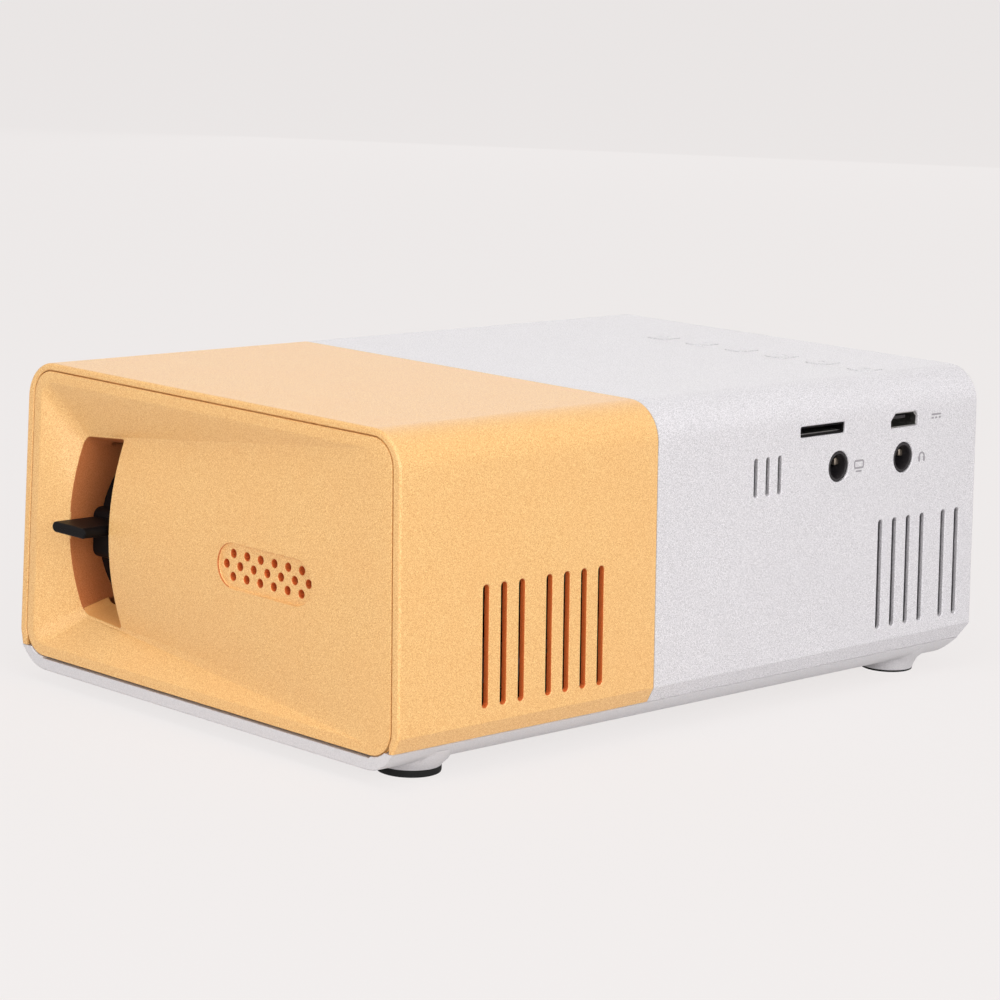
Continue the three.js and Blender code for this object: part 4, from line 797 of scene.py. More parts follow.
class MakeStage(bpy.types.Operator):
    """Adds the camera, the pale floor, the room light and the soft lamps"""
    bl_idname = "projector.stage"
    bl_label = "Stage"

    def execute(self, context):
        settings = context.scene.projector_stage
        context.scene.view_settings.view_transform = "Standard"
        self.add_camera(context, settings)
        self.add_floor(settings)
        self.add_room(context, settings)
        self.add_lamp("side_softbox", (0.22, 0.94, 0.38), 0.8, settings.side_power)
        self.add_lamp("end_softbox", (0.60, 0.10, 0.16), 0.5, settings.end_power)
        self.add_lamp("top_softbox", (0.2, 0.2, 1.1), 0.8, settings.top_power)
        self.add_lamp("back_softbox", (-0.80, -0.72, 0.38), 0.9, settings.back_power)
        return {"FINISHED"}

    def add_camera(self, context, settings):
        a, e, roll = settings.azimuth, settings.elevation, settings.roll
        back = Vector((math.sin(a) * math.cos(e), -math.cos(a) * math.cos(e), math.sin(e)))
        right = Vector((math.cos(a), math.sin(a), 0))
        up = back.cross(right)
        cosine, sine = math.cos(roll), math.sin(roll)
        right, up = right * cosine + up * sine, up * cosine - right * sine
        deselect()
        bpy.ops.object.camera_add()
        camera = context.object
        camera.name = "photo_camera"
        axes = Matrix((right, up, back)).transposed().to_4x4()
        camera.matrix_world = Matrix.Translation(settings.place) @ axes
        camera.data.lens = settings.lens
        camera.data.sensor_width = 36
        camera.data.clip_start, camera.data.clip_end = 0.01, 100
        context.scene.camera = camera

    def add_floor(self, settings):
        deselect()
        bpy.ops.mesh.primitive_grid_add(x_subdivisions=8, y_subdivisions=8, size=60)
        floor = bpy.context.object
        floor.name = "floor"
        made, tree, shader, _ = blank("Pale paper floor", Roughness=0.9, Specular_IOR_Level=0.0,
                                      Base_Color=linear("D2D0D0"))
        glow = add_node(tree, "ShaderNodeEmission", {"Color": tuple(settings.backdrop), "Strength": 1.0})
        seen = self.seen(tree)
        share = add_node(tree, "ShaderNodeMath", {0: seen, 1: 0.85}, operation="MULTIPLY")
        mix = add_node(tree, "ShaderNodeMixShader",
                       {0: share.outputs[0], 1: shader.outputs[0], 2: glow.outputs[0]})
        tree.links.new(mix.outputs[0], tree.nodes["Material Output"].inputs["Surface"])
        floor.data.materials.append(made)

    def seen(self, tree):
        """1 for camera, glossy and transmission rays, 0 for the light on the object."""
        path = add_node(tree, "ShaderNodeLightPath")
        total = add_node(tree, "ShaderNodeMath", {0: path.outputs["Is Camera Ray"],
                                                  1: path.outputs["Is Glossy Ray"]}, operation="ADD")
        return add_node(tree, "ShaderNodeMath", {0: total.outputs[0], 1: path.outputs["Is Transmission Ray"]},
                        operation="ADD", use_clamp=True).outputs[0]

    def add_room(self, context, settings):
        world = bpy.data.worlds.new("Pale room")
        context.scene.world = world
        world.use_nodes = True
        tree = world.node_tree
        backdrop = tree.nodes["Background"]
        backdrop.inputs["Color"].default_value = settings.backdrop
        light = add_node(tree, "ShaderNodeBackground",
                         {"Color": linear("FFFFFF"), "Strength": settings.sky})
        mix = add_node(tree, "ShaderNodeMixShader",
                       {0: self.seen(tree), 1: light.outputs[0], 2: backdrop.outputs[0]})
        tree.links.new(mix.outputs[0], tree.nodes["World Output"].inputs["Surface"])

    def add_lamp(self, name, place, width, power):
        deselect()
        bpy.ops.object.light_add(type="AREA", location=place)
        lamp = bpy.context.object
        lamp.name = name
        lamp.data.shape = "DISK"
        lamp.data.size = width
        lamp.data.energy = power
        lamp.rotation_mode = "QUATERNION"
        lamp.rotation_quaternion = Vector(place).to_track_quat("Z", "Y")


def cut(piece, *cutters):
    """Takes several cutters out of a piece, one after the other."""
    for cutter in cutters:
        combine(piece, cutter, "DIFFERENCE")
    return piece


def add(piece, *others):
    """Grows several others onto a piece."""
    for other in others:
        combine(piece, other, "UNION")
    return piece


def screw_column(sizes, x, side):
    """A column for a base screw under the roof, with the web that ties it to the side."""
    y, top = side * SCREW_Y, TOP_Z - mm(sizes.wall) / 2
    column = prism("column", "Z", circle(x, y, COLUMN_RADIUS, 24), 6.5, top)
    web = rounded(x - 0.9, x + 0.9, *sorted((y, side * (FOLD_Y - 3))), 0.2, 1)
    add(column, prism("web", "Z", web, 7.7, top))
    combine(column, prism("inside", "X", room_outline(sizes, mm(sizes.wall) / 2), x - 4, x + 4), "INTERSECT")
    return cut(column, prism("pilot", "Z", circle(x, y, 1.0, 16), 6.0, 14.2))


class MakeOrangeShell(bpy.types.Operator):
    """Models the orange shell: roof and sides, the rim round the end face, lens hole and cooling slots"""
    bl_idname = "projector.orange_shell"
    bl_label = "Orange shell"

    def execute(self, context):
        sizes, face = context.scene.projector_shells, context.scene.projector_end_face
        wall, start = mm(sizes.wall), SPLIT_X + mm(sizes.joint) / 2
        shell = prism("shell", "X", shell_outline(sizes, SEAM_Z + REST_GAP), start, END_X)
        end, low = spot(END_X, 0, 0).x, (SEAM_Z + 2 * REST_GAP) * MM
        soften(shell, lambda a, b: min(a.x, b.x) > end - MM / 100 and max(a.z, b.z) > low,
               mm(sizes.end_fillet), 4)
        hole_radius = mm(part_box("lens_bezel")[1].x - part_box("lens_bezel")[0].x) / 2 - 0.55
        lens_hole = prism("lens_hole", "Y", circle(LENS_X, LENS_Z, hole_radius, 72), -FOLD_Y - OVERRUN,
                          OVERRUN + 2 * wall - FOLD_Y)
        places = slot_places((3, 4), VENT_PITCH, VENT_GROUP_GAP, LENS_X)
        slots = vents(sizes, places, mm(sizes.vent_width), VENT_LOW, VENT_HIGH)
        room = prism("room", "X", room_outline(sizes, wall), start - OVERRUN, END_X + OVERRUN)
        rebate = prism("rebate", "X", room_outline(sizes, STEP_INSET - 0.15), start - OVERRUN,
                       SPLIT_X + STEP_LENGTH + 0.3)
        pocket = vent_pocket(sizes, sizes.vent_wall, places, VENT_LOW, VENT_HIGH)
        cut(shell, room, rebate, mouth_cutter(face), lens_hole, pocket, slots)
        add(shell, *[screw_column(sizes, ORANGE_SCREW_X, side) for side in (-1, 1)])
        finished(shell, "orange_shell", finish("orange"), nodes=["orange_housing"])
        # Painted shade: the faces of the cooling slots' walls, found below, get a deeper orange
        left, right, skin = max(places) + 1, min(places) - 1, 0.1

        def in_vent_painted_shade(centre, normal):
            x, y, z = mm(centre.x - BODY_X), mm(centre.y), mm(centre.z)
            depth = half_at(z) - y
            return (right < x < left and VENT_LOW - 0.3 < z < VENT_HIGH + 0.3
                    and skin < depth < mm(sizes.vent_wall) + 0.01 and abs(normal.y) < 0.6)

        paint_light_and_shade(shell, finish("hollow"), in_vent_painted_shade)
        return {"FINISHED"}


class MakeWhiteShell(bpy.types.Operator):
    """Models the white shell: roof, sides and end, the step inside the orange shell, and all its openings"""
    bl_idname = "projector.white_shell"
    bl_label = "White shell"

    def execute(self, context):
        sizes = context.scene.projector_shells
        wall, stop = mm(sizes.wall), SPLIT_X - mm(sizes.joint) / 2
        shell = prism("shell", "X", shell_outline(sizes, SEAM_Z + REST_GAP), -END_X, stop)
        cut(shell, prism("turned_in_end", "Y", end_slope(), -2 * FOLD_Y, 2 * FOLD_Y))
        near, low = spot(SEAM_INSET - END_X, 0, 0).x, (SEAM_Z + 2 * REST_GAP) * MM
        soften(shell, lambda a, b: max(a.x, b.x) < near and max(a.z, b.z) > low, mm(sizes.end_fillet), 4)
        far = spot(stop, 0, 0).x
        soften(shell, lambda a, b: min(a.x, b.x) > far - MM / 100 and max(a.z, b.z) > low, 0.15, 2)
        step = prism("step", "X", room_outline(sizes, STEP_INSET), stop - wall, SPLIT_X + STEP_LENGTH)
        cut(step, prism("below", "X", rounded(-2 * FOLD_Y, 2 * FOLD_Y, -9, SEAM_Z + REST_GAP, 0.1, 1),
                        stop - 2 * wall, SPLIT_X + 2 * STEP_LENGTH))
        add(shell, step)
        room = prism("room", "X", room_outline(sizes, wall), wall - END_X, SPLIT_X + STEP_LENGTH + OVERRUN)
        cut(shell, room, *self.side_openings(sizes), *self.end_openings(), self.window_hole(wall),
            *[self.key_hole(name) for name in KEY_NAMES])
        add(shell, *[screw_column(sizes, WHITE_SCREW_X, side) for side in (-1, 1)])
        keep_behind_end(shell)
        finished(shell, "white_shell", finish("white"), nodes=["white_housing"])
        return {"FINISHED"}

    def side_openings(self, sizes):
        deep, ease = 2 * mm(sizes.wall), mm(sizes.vent_edge)
        long_vents = slot_places((4, 2), VENT_PITCH, VENT_GROUP_GAP, WHITE_VENT_X)
        small_vents = slot_places((3,), SMALL_VENT_PITCH, 0, SMALL_VENT_X)
        openings = [
            vent_pocket(sizes, sizes.white_vent_wall, long_vents, VENT_LOW, VENT_HIGH),
            vent_pocket(sizes, sizes.white_vent_wall, small_vents, SMALL_VENT_LOW, SMALL_VENT_HIGH),
            vents(sizes, long_vents, mm(sizes.white_vent_width), VENT_LOW, VENT_HIGH),
            vents(sizes, small_vents, SMALL_VENT_WIDTH, SMALL_VENT_LOW, SMALL_VENT_HIGH),
            side_cutter("card_hole", card_outline(0), deep, ease, card_outline(ease)),
            side_cutter("power_hole", power_outline(0.06), deep, ease, power_outline(0.06 + ease)),
        ]
        for x in JACK_PLACES:
            openings.append(side_cutter("jack_hole", circle(x, JACK_Z, JACK_HOLE, 40), deep, ease,
                                        circle(x, JACK_Z, JACK_HOLE + ease, 40)))
        return openings

    def end_openings(self):
        layers = ((0.15, 3.0), (0.15, 0.2), (0.35, -0.01), (0.35, -OVERRUN))
        return [loft("end_hole", [along("X", outline(grow), deep - END_X) for grow, deep in layers])
                for outline in (hdmi_outline, usb_outline)]

    def window_hole(self, wall):
        x, _, z = middle("ir_window")
        return prism("window_hole", "Y", circle(x, z, WINDOW_RADIUS + 0.15, 40), -FOLD_Y - OVERRUN,
                     OVERRUN + wall - FOLD_Y)

    def key_hole(self, name):
        layers = ((0.08, TOP_Z - 4), (0.08, TOP_Z - 0.08), (0.16, TOP_Z + 0.01), (0.16, TOP_Z + OVERRUN))
        return loft("key_hole", [along("Z", key_outline(name, grow), z) for grow, z in layers])


def slot_outline(face, grow, steps=8, sides=12):
    """The focus slot: sharp towards the grille, round and bowed outwards on its other side."""
    left, right, low, high, sharp, soft, top = SLOT_LEFT, SLOT_RIGHT, SLOT_LOW, SLOT_HIGH, 0.35, 1.5, 1.2
    corners = [(right - sharp, low - 0.5 + sharp, sharp), (right - sharp, high + 0.1 - sharp, sharp),
               (left + top, high - 0.5 - top, top), (left + soft, low + 0.1 + soft, soft)]
    middle_z, half = (low + high) / 2, (high - low) / 2
    outline = []
    for y, z in cornered(corners, grow, steps, sides):
        share = min(1.0, max(0.0, (right - y) / (right - left)))
        outline.append((y + mm(face.slot_bow) * share * ((z - middle_z) / half) ** 2, z))
    return outline


class MakeEndFace(bpy.types.Operator):
    """Models the end face: a shallow dish that sinks to the focus slot, the slot's well, and the grille"""
    bl_idname = "projector.end_face"
    bl_label = "End face"

    def execute(self, context):
        face = context.scene.projector_end_face
        panel = loft("panel", self.front(face) + self.well(face) + self.rear(face), closed=True)
        holes = joined("holes", [self.hole(*place) for place in self.holes(face)])
        cut(panel, self.grille_recess(face), holes)
        panel = joined("panel", [panel, *self.fins()])
        finished(panel, "end_face", finish("orange"), nodes=["end_panel"], angle=26)

        def in_well_painted_shade(centre, normal):
            x, y, z = mm(centre.x - BODY_X), mm(centre.y), mm(centre.z)
            return (x < END_X - mm(face.shallow) - mm(face.edge) and abs(normal.x) < 0.4 and normal.z < 0.5
                    and SLOT_LEFT - 0.4 < y < SLOT_RIGHT + 0.4 and SLOT_LOW - 0.7 < z < SLOT_HIGH + 0.4)

        def on_slot_floor_painted_light(centre, normal):
            y, z = mm(centre.y), mm(centre.z)
            return (SLOT_LEFT < y < SLOT_RIGHT and SLOT_LOW - 0.7 < z < SLOT_LOW + 2 and normal.z > 0.5
                    and abs(normal.x) < 0.4)

        def on_recess_side_painted_shade(centre, normal):
            y, z = mm(centre.y), mm(centre.z)
            inside = abs(y - GRILLE_Y) < GRILLE_HALF + 0.3 and abs(z - LENS_Z) < GRILLE_RISE + 0.3
            return inside and normal.y > 0.25 and abs(normal.x) < 0.4

        def in_hole_painted_shade(centre, normal):
            y, z = mm(centre.y), mm(centre.z)
            inside = min(math.dist((y, z), place) for place in self.holes(face)) < GRILLE_HOLE + 0.02
            return inside and centre.x < spot(END_X - GRILLE_FLOOR - 0.1, 0, 0).x and abs(normal.x) < 0.4

        # Painted shade on the well's walls, the recess's sides and the holes; painted light on the well's
        # floor
        paint_light_and_shade(panel, finish("well"), in_well_painted_shade)
        paint_light_and_shade(panel, finish("well"), on_recess_side_painted_shade)
        paint_light_and_shade(panel, finish("slot_floor_painted_light"), on_slot_floor_painted_light)
        paint_light_and_shade(panel, finish("hollow"), in_hole_painted_shade)
        return {"FINISHED"}

    def rim(self, face, grow, deep):
        return along("X", end_outline(face, grow, 8, 12), END_X - deep)

    def depths(self, face):
        """How deep the slot's edge lies at each of its places."""
        deep, shallow = mm(face.deep), mm(face.shallow)
        middle_z, half = (SLOT_LOW + SLOT_HIGH) / 2, (SLOT_HIGH - SLOT_LOW) / 2
        return [shallow + (deep - shallow) * min(1.0, ((z - middle_z) / half) ** 2)
                for _, z in slot_outline(face, 0)]

    def front(self, face):
        margin, edge = mm(face.margin), 0.2
        border, lip = end_outline(face, -margin, 8, 12), slot_outline(face, mm(face.edge))
        seat, ledge = mm(face.gap) - 0.02, 0.65
        rings = [self.rim(face, seat, mm(face.wall)), self.rim(face, seat, ledge), self.rim(face, 0, ledge),
                 self.rim(face, 0, edge), self.rim(face, -0.3 * edge, 0.3 * edge), self.rim(face, -edge, 0),
                 self.rim(face, -margin, 0)]
        for share in (0.03, 0.07, 0.12, 0.2, 0.35, 0.5, 0.65, 0.8, 0.9, 0.96, 1.0):
            sunk = share ** 2 / 0.14 if share < 0.07 else (share - 0.035) / 0.965
            rings.append([spot(END_X - sunk * depth, *mixed(outer, inner, share))
                          for outer, inner, depth in zip(border, lip, self.depths(face))])
        return rings

    def well(self, face):
        edge = mm(face.edge)
        rings = []
        for turn in (30, 60, 90):
            inset, sink = edge * (1 - math.sin(math.radians(turn))), edge * (1 - math.cos(math.radians(turn)))
            rings.append(self.slot_ring(face, inset, [depth + sink for depth in self.depths(face)], 0))
        rings.append(self.slot_ring(face, 0, self.bottoms(face), WELL_RAMP))
        return rings

    def bottoms(self, face):
        """How deep the well reaches at each place: deepest on its left, beside the focus ring."""
        bottoms = []
        for y, z in slot_outline(face, 0):
            clear = END_X - LENS_X - math.sqrt(max(0.0, 17.6 ** 2 - (z - LENS_Z) ** 2))
            bottoms.append(min(WELL_DEPTH_LEFT, clear) if y < self.ring_side() else WELL_DEPTH)
        return bottoms

    def ring_side(self):
        """The plane just in front of the focus ring."""
        return reach("focus_ring")[0][1] - 0.16

    def fins(self):
        """Two fins that carry the well's left side on behind its round corners, beside the focus ring."""
        for low, high in ((SLOT_LOW - 1.0, SLOT_LOW + 3.2), (SLOT_HIGH - 3.2, SLOT_HIGH + 0.7)):
            fin = rounded(SLOT_LEFT - 1.15, SLOT_LEFT + 0.38, low, high, 0.05, 1)
            yield prism("fin", "X", fin, END_X - WELL_DEPTH_LEFT - 2.0, END_X - WELL_DEPTH + 0.5)

    def slot_ring(self, face, grow, depths, ramp):
        middle_z, half = (SLOT_LOW + SLOT_HIGH) / 2, (SLOT_HIGH - SLOT_LOW) / 2
        return [spot(END_X - depth, y, z - ramp * (z - middle_z) / half)
                for (y, z), depth in zip(slot_outline(face, grow), depths)]

    def rear(self, face):
        wall = mm(face.wall)
        behind = [depth + wall for depth in self.depths(face)]
        return [self.slot_ring(face, 1.2, self.bottoms(face), WELL_RAMP),
                self.slot_ring(face, 1.2, behind, 0),
                self.rim(face, -mm(face.margin), wall)]

    def grille_recess(self, face):
        floor = END_X - GRILLE_FLOOR
        layers = ((-0.12, floor), (0, floor + 0.12), (0, END_X - 0.5), (0.12, END_X - 0.25),
                  (0.12, END_X + OVERRUN))
        rings = []
        for grow, x in layers:
            half, rise = GRILLE_HALF + grow, GRILLE_RISE + grow
            outline = rounded(GRILLE_Y - half, GRILLE_Y + half, LENS_Z - rise, LENS_Z + rise, rise, 12)
            rings.append(along("X", outline, x))
        return loft("recess", rings)

    def holes(self, face):
        rows = (face.holes - 1, face.holes, face.holes - 1)
        return [(GRILLE_Y + (place - (count - 1) / 2) * GRILLE_PITCH, LENS_Z + (row - 1) * GRILLE_ROW)
                for row, count in enumerate(rows) for place in range(count)]

    def hole(self, y, z):
        floor = END_X - GRILLE_FLOOR
        layers = ((GRILLE_HOLE, floor - 4), (GRILLE_HOLE, floor - 0.1), (GRILLE_HOLE + 0.12, floor + 0.02),
                  (GRILLE_HOLE + 0.12, floor + 0.5))
        return loft("hole", [along("X", circle(y, z, radius, 16), x) for radius, x in layers])


class MakeFocusRing(bpy.types.Operator):
    """Models the focus ring with its foot, its root block and the flat lever that stands in the slot"""
    bl_idname = "projector.focus_ring"
    bl_label = "Focus ring and lever"

    def execute(self, context):
        low, high = reach("focus_ring")
        front, back, tip = low[1], high[1], high[0]
        outside, bore = 18.8, 16.0
        # Each part is longer than the next and all are cut to length together, so that no two ends lie in a
        # plane: a union of such ends doesn't give the same triangles in each run
        ring = prism("ring", "Y", circle(LENS_X, LENS_Z, outside, 96), front - 1.0, back + 1.0)
        foot = arc(LENS_X + 6.3, LENS_Z - 2.0, 15.0, -42, 42, 24)
        foot = [(LENS_X + 10, foot[0][1]), *foot, (LENS_X + 10, foot[-1][1])]
        block = rounded(LENS_X + 15, LENS_X + 22.5, 19.7, 27.3, 1.3)
        add(ring, prism("foot", "Y", foot, front - 1.5, back + 1.5),
            prism("block", "Y", block, front - 2.0, back + 2.0))
        slab = rounded(LENS_X - 30, LENS_X + 30, LENS_Z - 30, LENS_Z + 30, 1, 1)
        combine(ring, prism("slab", "Y", slab, front, back), "INTERSECT")
        cut(ring, prism("bore", "Y", circle(LENS_X, LENS_Z, bore, 96), front - OVERRUN, back + OVERRUN))
        modify(ring, "BEVEL", width=0.25 * MM, segments=2, limit_method="ANGLE", angle_limit=math.radians(40))
        half, level = mm(context.scene.projector_small_parts.lever_plate) / 2, 25.2
        plate = rounded(front, back, level - half, level + half, half - 0.01, 6)
        lever = prism("lever", "X", plate, LENS_X + 17, tip)
        end = spot(tip, 0, 0).x
        soften(lever, lambda a, b: min(a.x, b.x) > end - MM / 100, 0.3, 3)
        # Side by side, for the same reason
        ring = joined("ring", [ring, lever])
        finished(ring, "focus_lever_ring", finish("nylon"), "focus_ring", ["focus_ring"])
        return {"FINISHED"}


def pad_radius(name):
    """The pads' radius as it looks: the thin ones at the white end are smaller."""
    low, high = reach(name)
    return (high[0] - low[0]) / 2 - (0.6 if high[2] < THIN_PAD else 0.2)


class MakeBase(bpy.types.Operator):
    """Models the light base tray with its round lower edges, foot pedestals and screw recesses"""
    bl_idname = "projector.base"
    bl_label = "Base tray"

    def execute(self, context):
        sizes, face = context.scene.projector_shells, context.scene.projector_end_face
        tray = prism("tray", "X", self.outline(mm(sizes.tray_round)), -END_X, END_X)
        cut(tray, prism("turned_in_end", "Y", end_slope(), -2 * FOLD_Y, 2 * FOLD_Y))
        near, far, top = spot(BASE_INSET + 0.5 - END_X, 0, 0).x, spot(END_X, 0, 0).x, (SEAM_Z - 0.2) * MM
        soften(tray, lambda a, b: max(a.x, b.x) < near and max(a.z, b.z) < top, 0.5)
        soften(tray, lambda a, b: min(a.x, b.x) > far - MM / 100 and max(a.z, b.z) < top, 0.25)
        add(tray, *[self.pedestal(name) for name in PAD_NAMES])
        half, floor = FOLD_Y - 1.0, BASE_Z + 1.75
        hollow = [(half - 4.7, floor), (half - 2.1, SEAM_Z + OVERRUN)]
        cut(tray, prism("hollow", "X", mirrored(hollow), 3.1 - END_X, END_X + OVERRUN))
        bosses = [prism("boss", "Z", circle(x, side * SCREW_Y, 3.1, 32), floor - 0.4, 6.2)
                  for x in (ORANGE_SCREW_X, WHITE_SCREW_X) for side in (-1, 1)]
        x, y, _ = middle("tripod_insert")
        bosses.append(prism("boss", "Z", circle(x, y, 6.2, 48), floor - 0.4, 8.6))
        add(tray, *bosses)
        cut(tray, mouth_cutter(face), *self.recesses(x, y))
        keep_behind_end(tray)
        finished(tray, "base_tray", finish("tray"), nodes=["base_cover"])
        return {"FINISHED"}

    def outline(self, rounding):
        """The tray's cross-section: turned-in sides that round into the underside, their top edges eased."""
        under, halves = FOLD_Y - BASE_INSET, []
        for inset in (SEAM_INSET, FRONT_SEAM_INSET):
            seam = FOLD_Y - inset
            halves.append(softened((0, BASE_Z), (under, BASE_Z), (seam, SEAM_Z), rounding, 10)
                          + [(seam - 0.1, SEAM_Z - 0.15), (seam - 0.25, SEAM_Z)])
        return mirrored(*halves)

    def pedestal(self, name):
        x, y, _ = middle(name)
        top = mm(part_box(name)[1].z)
        radius = pad_radius(name)
        flare = 0.5 if top > THIN_PAD else 0.35
        rings = ((radius, top), (radius + 0.15 + 0.4 * flare, (BASE_Z + top) / 2),
                 (radius + 0.4 + flare, BASE_Z), (5.5 + flare, BASE_Z + 0.9), (6.0 + flare, BASE_Z + 1.6),
                 (6.5 + 0.5 * flare, SEAM_Z - 1.0))
        return loft("pedestal", [along("Z", circle(x, y, radius, 48), z) for radius, z in rings])

    def recesses(self, x, y):
        for screw_x in (ORANGE_SCREW_X, WHITE_SCREW_X):
            for side in (-1, 1):
                place = (screw_x, side * SCREW_Y)
                layers = ((2.6, BASE_Z - OVERRUN), (2.6, BASE_Z), (2.3, BASE_Z + 0.25), (2.3, BASE_Z + 1.8))
                yield loft("recess", [along("Z", circle(*place, radius, 32), z) for radius, z in layers])
                yield prism("screw_hole", "Z", circle(*place, 1.3, 24), BASE_Z, 9)
        yield prism("socket_hole", "Z", circle(x, y, 5.15, 48), BASE_Z - OVERRUN, 7.4)


class MakeFeet(bpy.types.Operator):
    """Models the four round rubber pads with their turned-over edge and grooved underside"""
    bl_idname = "projector.feet"
    bl_label = "Rubber pads"

    def execute(self, context):
        edge = mm(context.scene.projector_small_parts.foot_edge)
        for name in PAD_NAMES:
            low, high = reach(name)
            x, y, _ = middle(name)
            radius, top = pad_radius(name), high[2]
            ease = min(edge, 0.6 * top)
            profile = [(0, 0.15), (radius - 2.2, 0.15), (radius - 2.0, 0), (radius - ease, 0),
                       (radius - 0.3 * ease, 0.3 * ease), (radius, ease), (radius, top), (0, top)]
            pad = turned("pad", profile, "Z", (x, y), 48)
            finished(pad, name.replace("foot_pad", "rubber_pad"), finish("rubber"), nodes=[name])
        return {"FINISHED"}


def tube_shell(name, axis, outline, layers):
    """A shell along an axis with flat ends, from layers of (growth, place), outside first, then inside."""
    return loft(name, [along(axis, outline(grow), place) for grow, place in layers])


def eased(piece, width, segments=2, angle=40):
    """Eases all sharp edges of a small part."""
    modify(piece, "BEVEL", width=width * MM, segments=segments, limit_method="ANGLE",
           angle_limit=math.radians(angle))
    return piece


def box(name, x, y, z, corner=0.2):
    """A block between two corners, upright edges rounded."""
    return prism(name, "Z", rounded(*x, *y, corner, 3), *z)


class MakeSideSockets(bpy.types.Operator):
    """Models the two jacks, the power socket and the card socket in the white shell's rear side"""
    bl_idname = "projector.side_sockets"
    bl_label = "Side sockets"

    def execute(self, context):
        self.make_jacks()
        self.make_power_socket()
        self.make_card_socket()
        return {"FINISHED"}

    def make_jacks(self):
        x, (low, high) = JACK_PLACES[0], reach("av_jack")
        nose, face = half_at(JACK_Z) - 0.15, half_at(JACK_Z) - 2.1
        block = rounded(low[0], high[0], low[2], high[2], 0.3, 3)
        jack = eased(prism("jack", "Y", block, low[1], face), 0.15)
        outside = [(0, face - 1), (2.34, face - 1), (2.34, nose - 0.15), (2.2, nose), (0, nose)]
        add(jack, turned("nose", outside, "Y", (x, JACK_Z), 48))
        inside = [(0, low[1] + 1.8), (1.75, low[1] + 1.8), (1.75, nose - 0.35), (1.95, nose),
                  (1.95, nose + 2), (0, nose + 2)]
        cut(jack, turned("bore", inside, "Y", (x, JACK_Z), 48))
        contact = box("contact", (x - 1.9, x - 0.9), (nose - 3.4, nose - 1.5), (JACK_Z - 0.1, JACK_Z + 1.0))
        eased(contact, 0.2)
        shift = JACK_PLACES[1] - x
        twins = copied(jack, "jack", (shift, 0, 0)), copied(contact, "contact", (shift, 0, 0))
        for name, body, leaf in (("av_jack", jack, contact), ("headphone_jack", *twins)):
            finished(body, f"{name}_body", finish("jack"), nodes=[name])
            finished(leaf, f"{name}_contact", finish("tinned"))

    def make_power_socket(self):
        x, (low, high) = middle("power_socket")[0], reach("power_socket")
        mouth = half_at(high[2]) - 0.4
        shell = tube_shell("shell", "Y", power_outline, (
            (0.04, low[1]), (0.04, mouth - 0.05), (0.01, mouth), (-0.09, mouth), (-0.12, mouth - 0.05),
            (-0.12, low[1] + 0.3)))
        finished(shell, "power_socket_shell", finish("steel"), nodes=["power_socket"])
        tongue = box("tongue", (x - 1.8, x + 1.8), (low[1] + 0.2, mouth - 0.9),
                     (low[2] + 1.25, low[2] + 1.75), 0.1)
        finished(eased(tongue, 0.06), "power_socket_tongue", finish("jack"))

    def make_card_socket(self):
        x, (low, high) = middle("card_socket")[0], reach("card_socket")
        face, mouth = high[1], half_at(high[2]) - 0.25
        block = rounded(low[0], high[0], low[2], high[2], 0.2, 3)
        body = eased(prism("body", "Y", block, low[1], face), 0.08)
        collar = ((-0.05, face - 1), (-0.05, mouth - 0.05), (-0.1, mouth))
        slot = ((-0.35, low[1] + 2.6), (-0.35, mouth - 0.1), (-0.22, mouth + 0.01), (-0.22, mouth + 2))
        add(body, tube_shell("mouth", "Y", card_outline, collar))
        cut(body, tube_shell("slot", "Y", card_outline, slot))
        finished(body, "card_socket_body", finish("nylon"), nodes=["card_socket"])
        cover = box("cover", (x - 5.1, x + 5.1), (low[1] + 2, mouth - 0.5), (low[2] + 0.95, low[2] + 1.07))
        finished(cover, "card_socket_cover", finish("steel"))


class MakeEndSockets(bpy.types.Operator):
    """Models the picture and data sockets in the white end, with tongues and contact strips"""
    bl_idname = "projector.end_sockets"
    bl_label = "End sockets"

    def execute(self, context):
        for kind, outline, strips in (("hdmi", hdmi_outline, 9), ("usb", usb_outline, 4)):
            low, high = reach(f"{kind}_socket")
            mouth, back = 0.4 - END_X, high[0]
            shell = tube_shell("shell", "X", outline, (
                (0, back), (0, mouth + 0.4), (0.05, mouth + 0.05), (0, mouth), (-0.3, mouth),
                (-0.45, mouth + 0.1), (-0.45, back - 0.5)))
            finished(shell, f"{kind}_socket_shell", finish("steel"), nodes=[f"{kind}_socket"])
            y, z = (low[1] + high[1]) / 2, (low[2] + high[2]) / 2 + (0.9 if kind == "usb" else 0.2)
            half, thick = (high[1] - low[1]) / 2 - 1.6, 0.8 if kind == "usb" else 0.6
            bar = rounded(y - half, y + half, z - thick, z + thick, 0.2, 3)
            tongue = prism("tongue", "X", bar, mouth + 2.2, back - 0.3)
            finished(eased(tongue, 0.12), f"{kind}_socket_tongue", finish("jack"))
            contacts = [self.strip(y + (place - (strips - 1) / 2) * 1.8 * half / strips, z - thick, mouth,
                                   0.55 * half / strips) for place in range(strips)]
            finished(joined("contacts", contacts), f"{kind}_socket_contacts", finish("brass"))
        return {"FINISHED"}

    def strip(self, y, z, mouth, half):
        strip = box("strip", (mouth + 2.8, mouth + 11), (y - half, y + half), (z - 0.08, z + 0.1), 0.05)
        return eased(strip, 0.03)


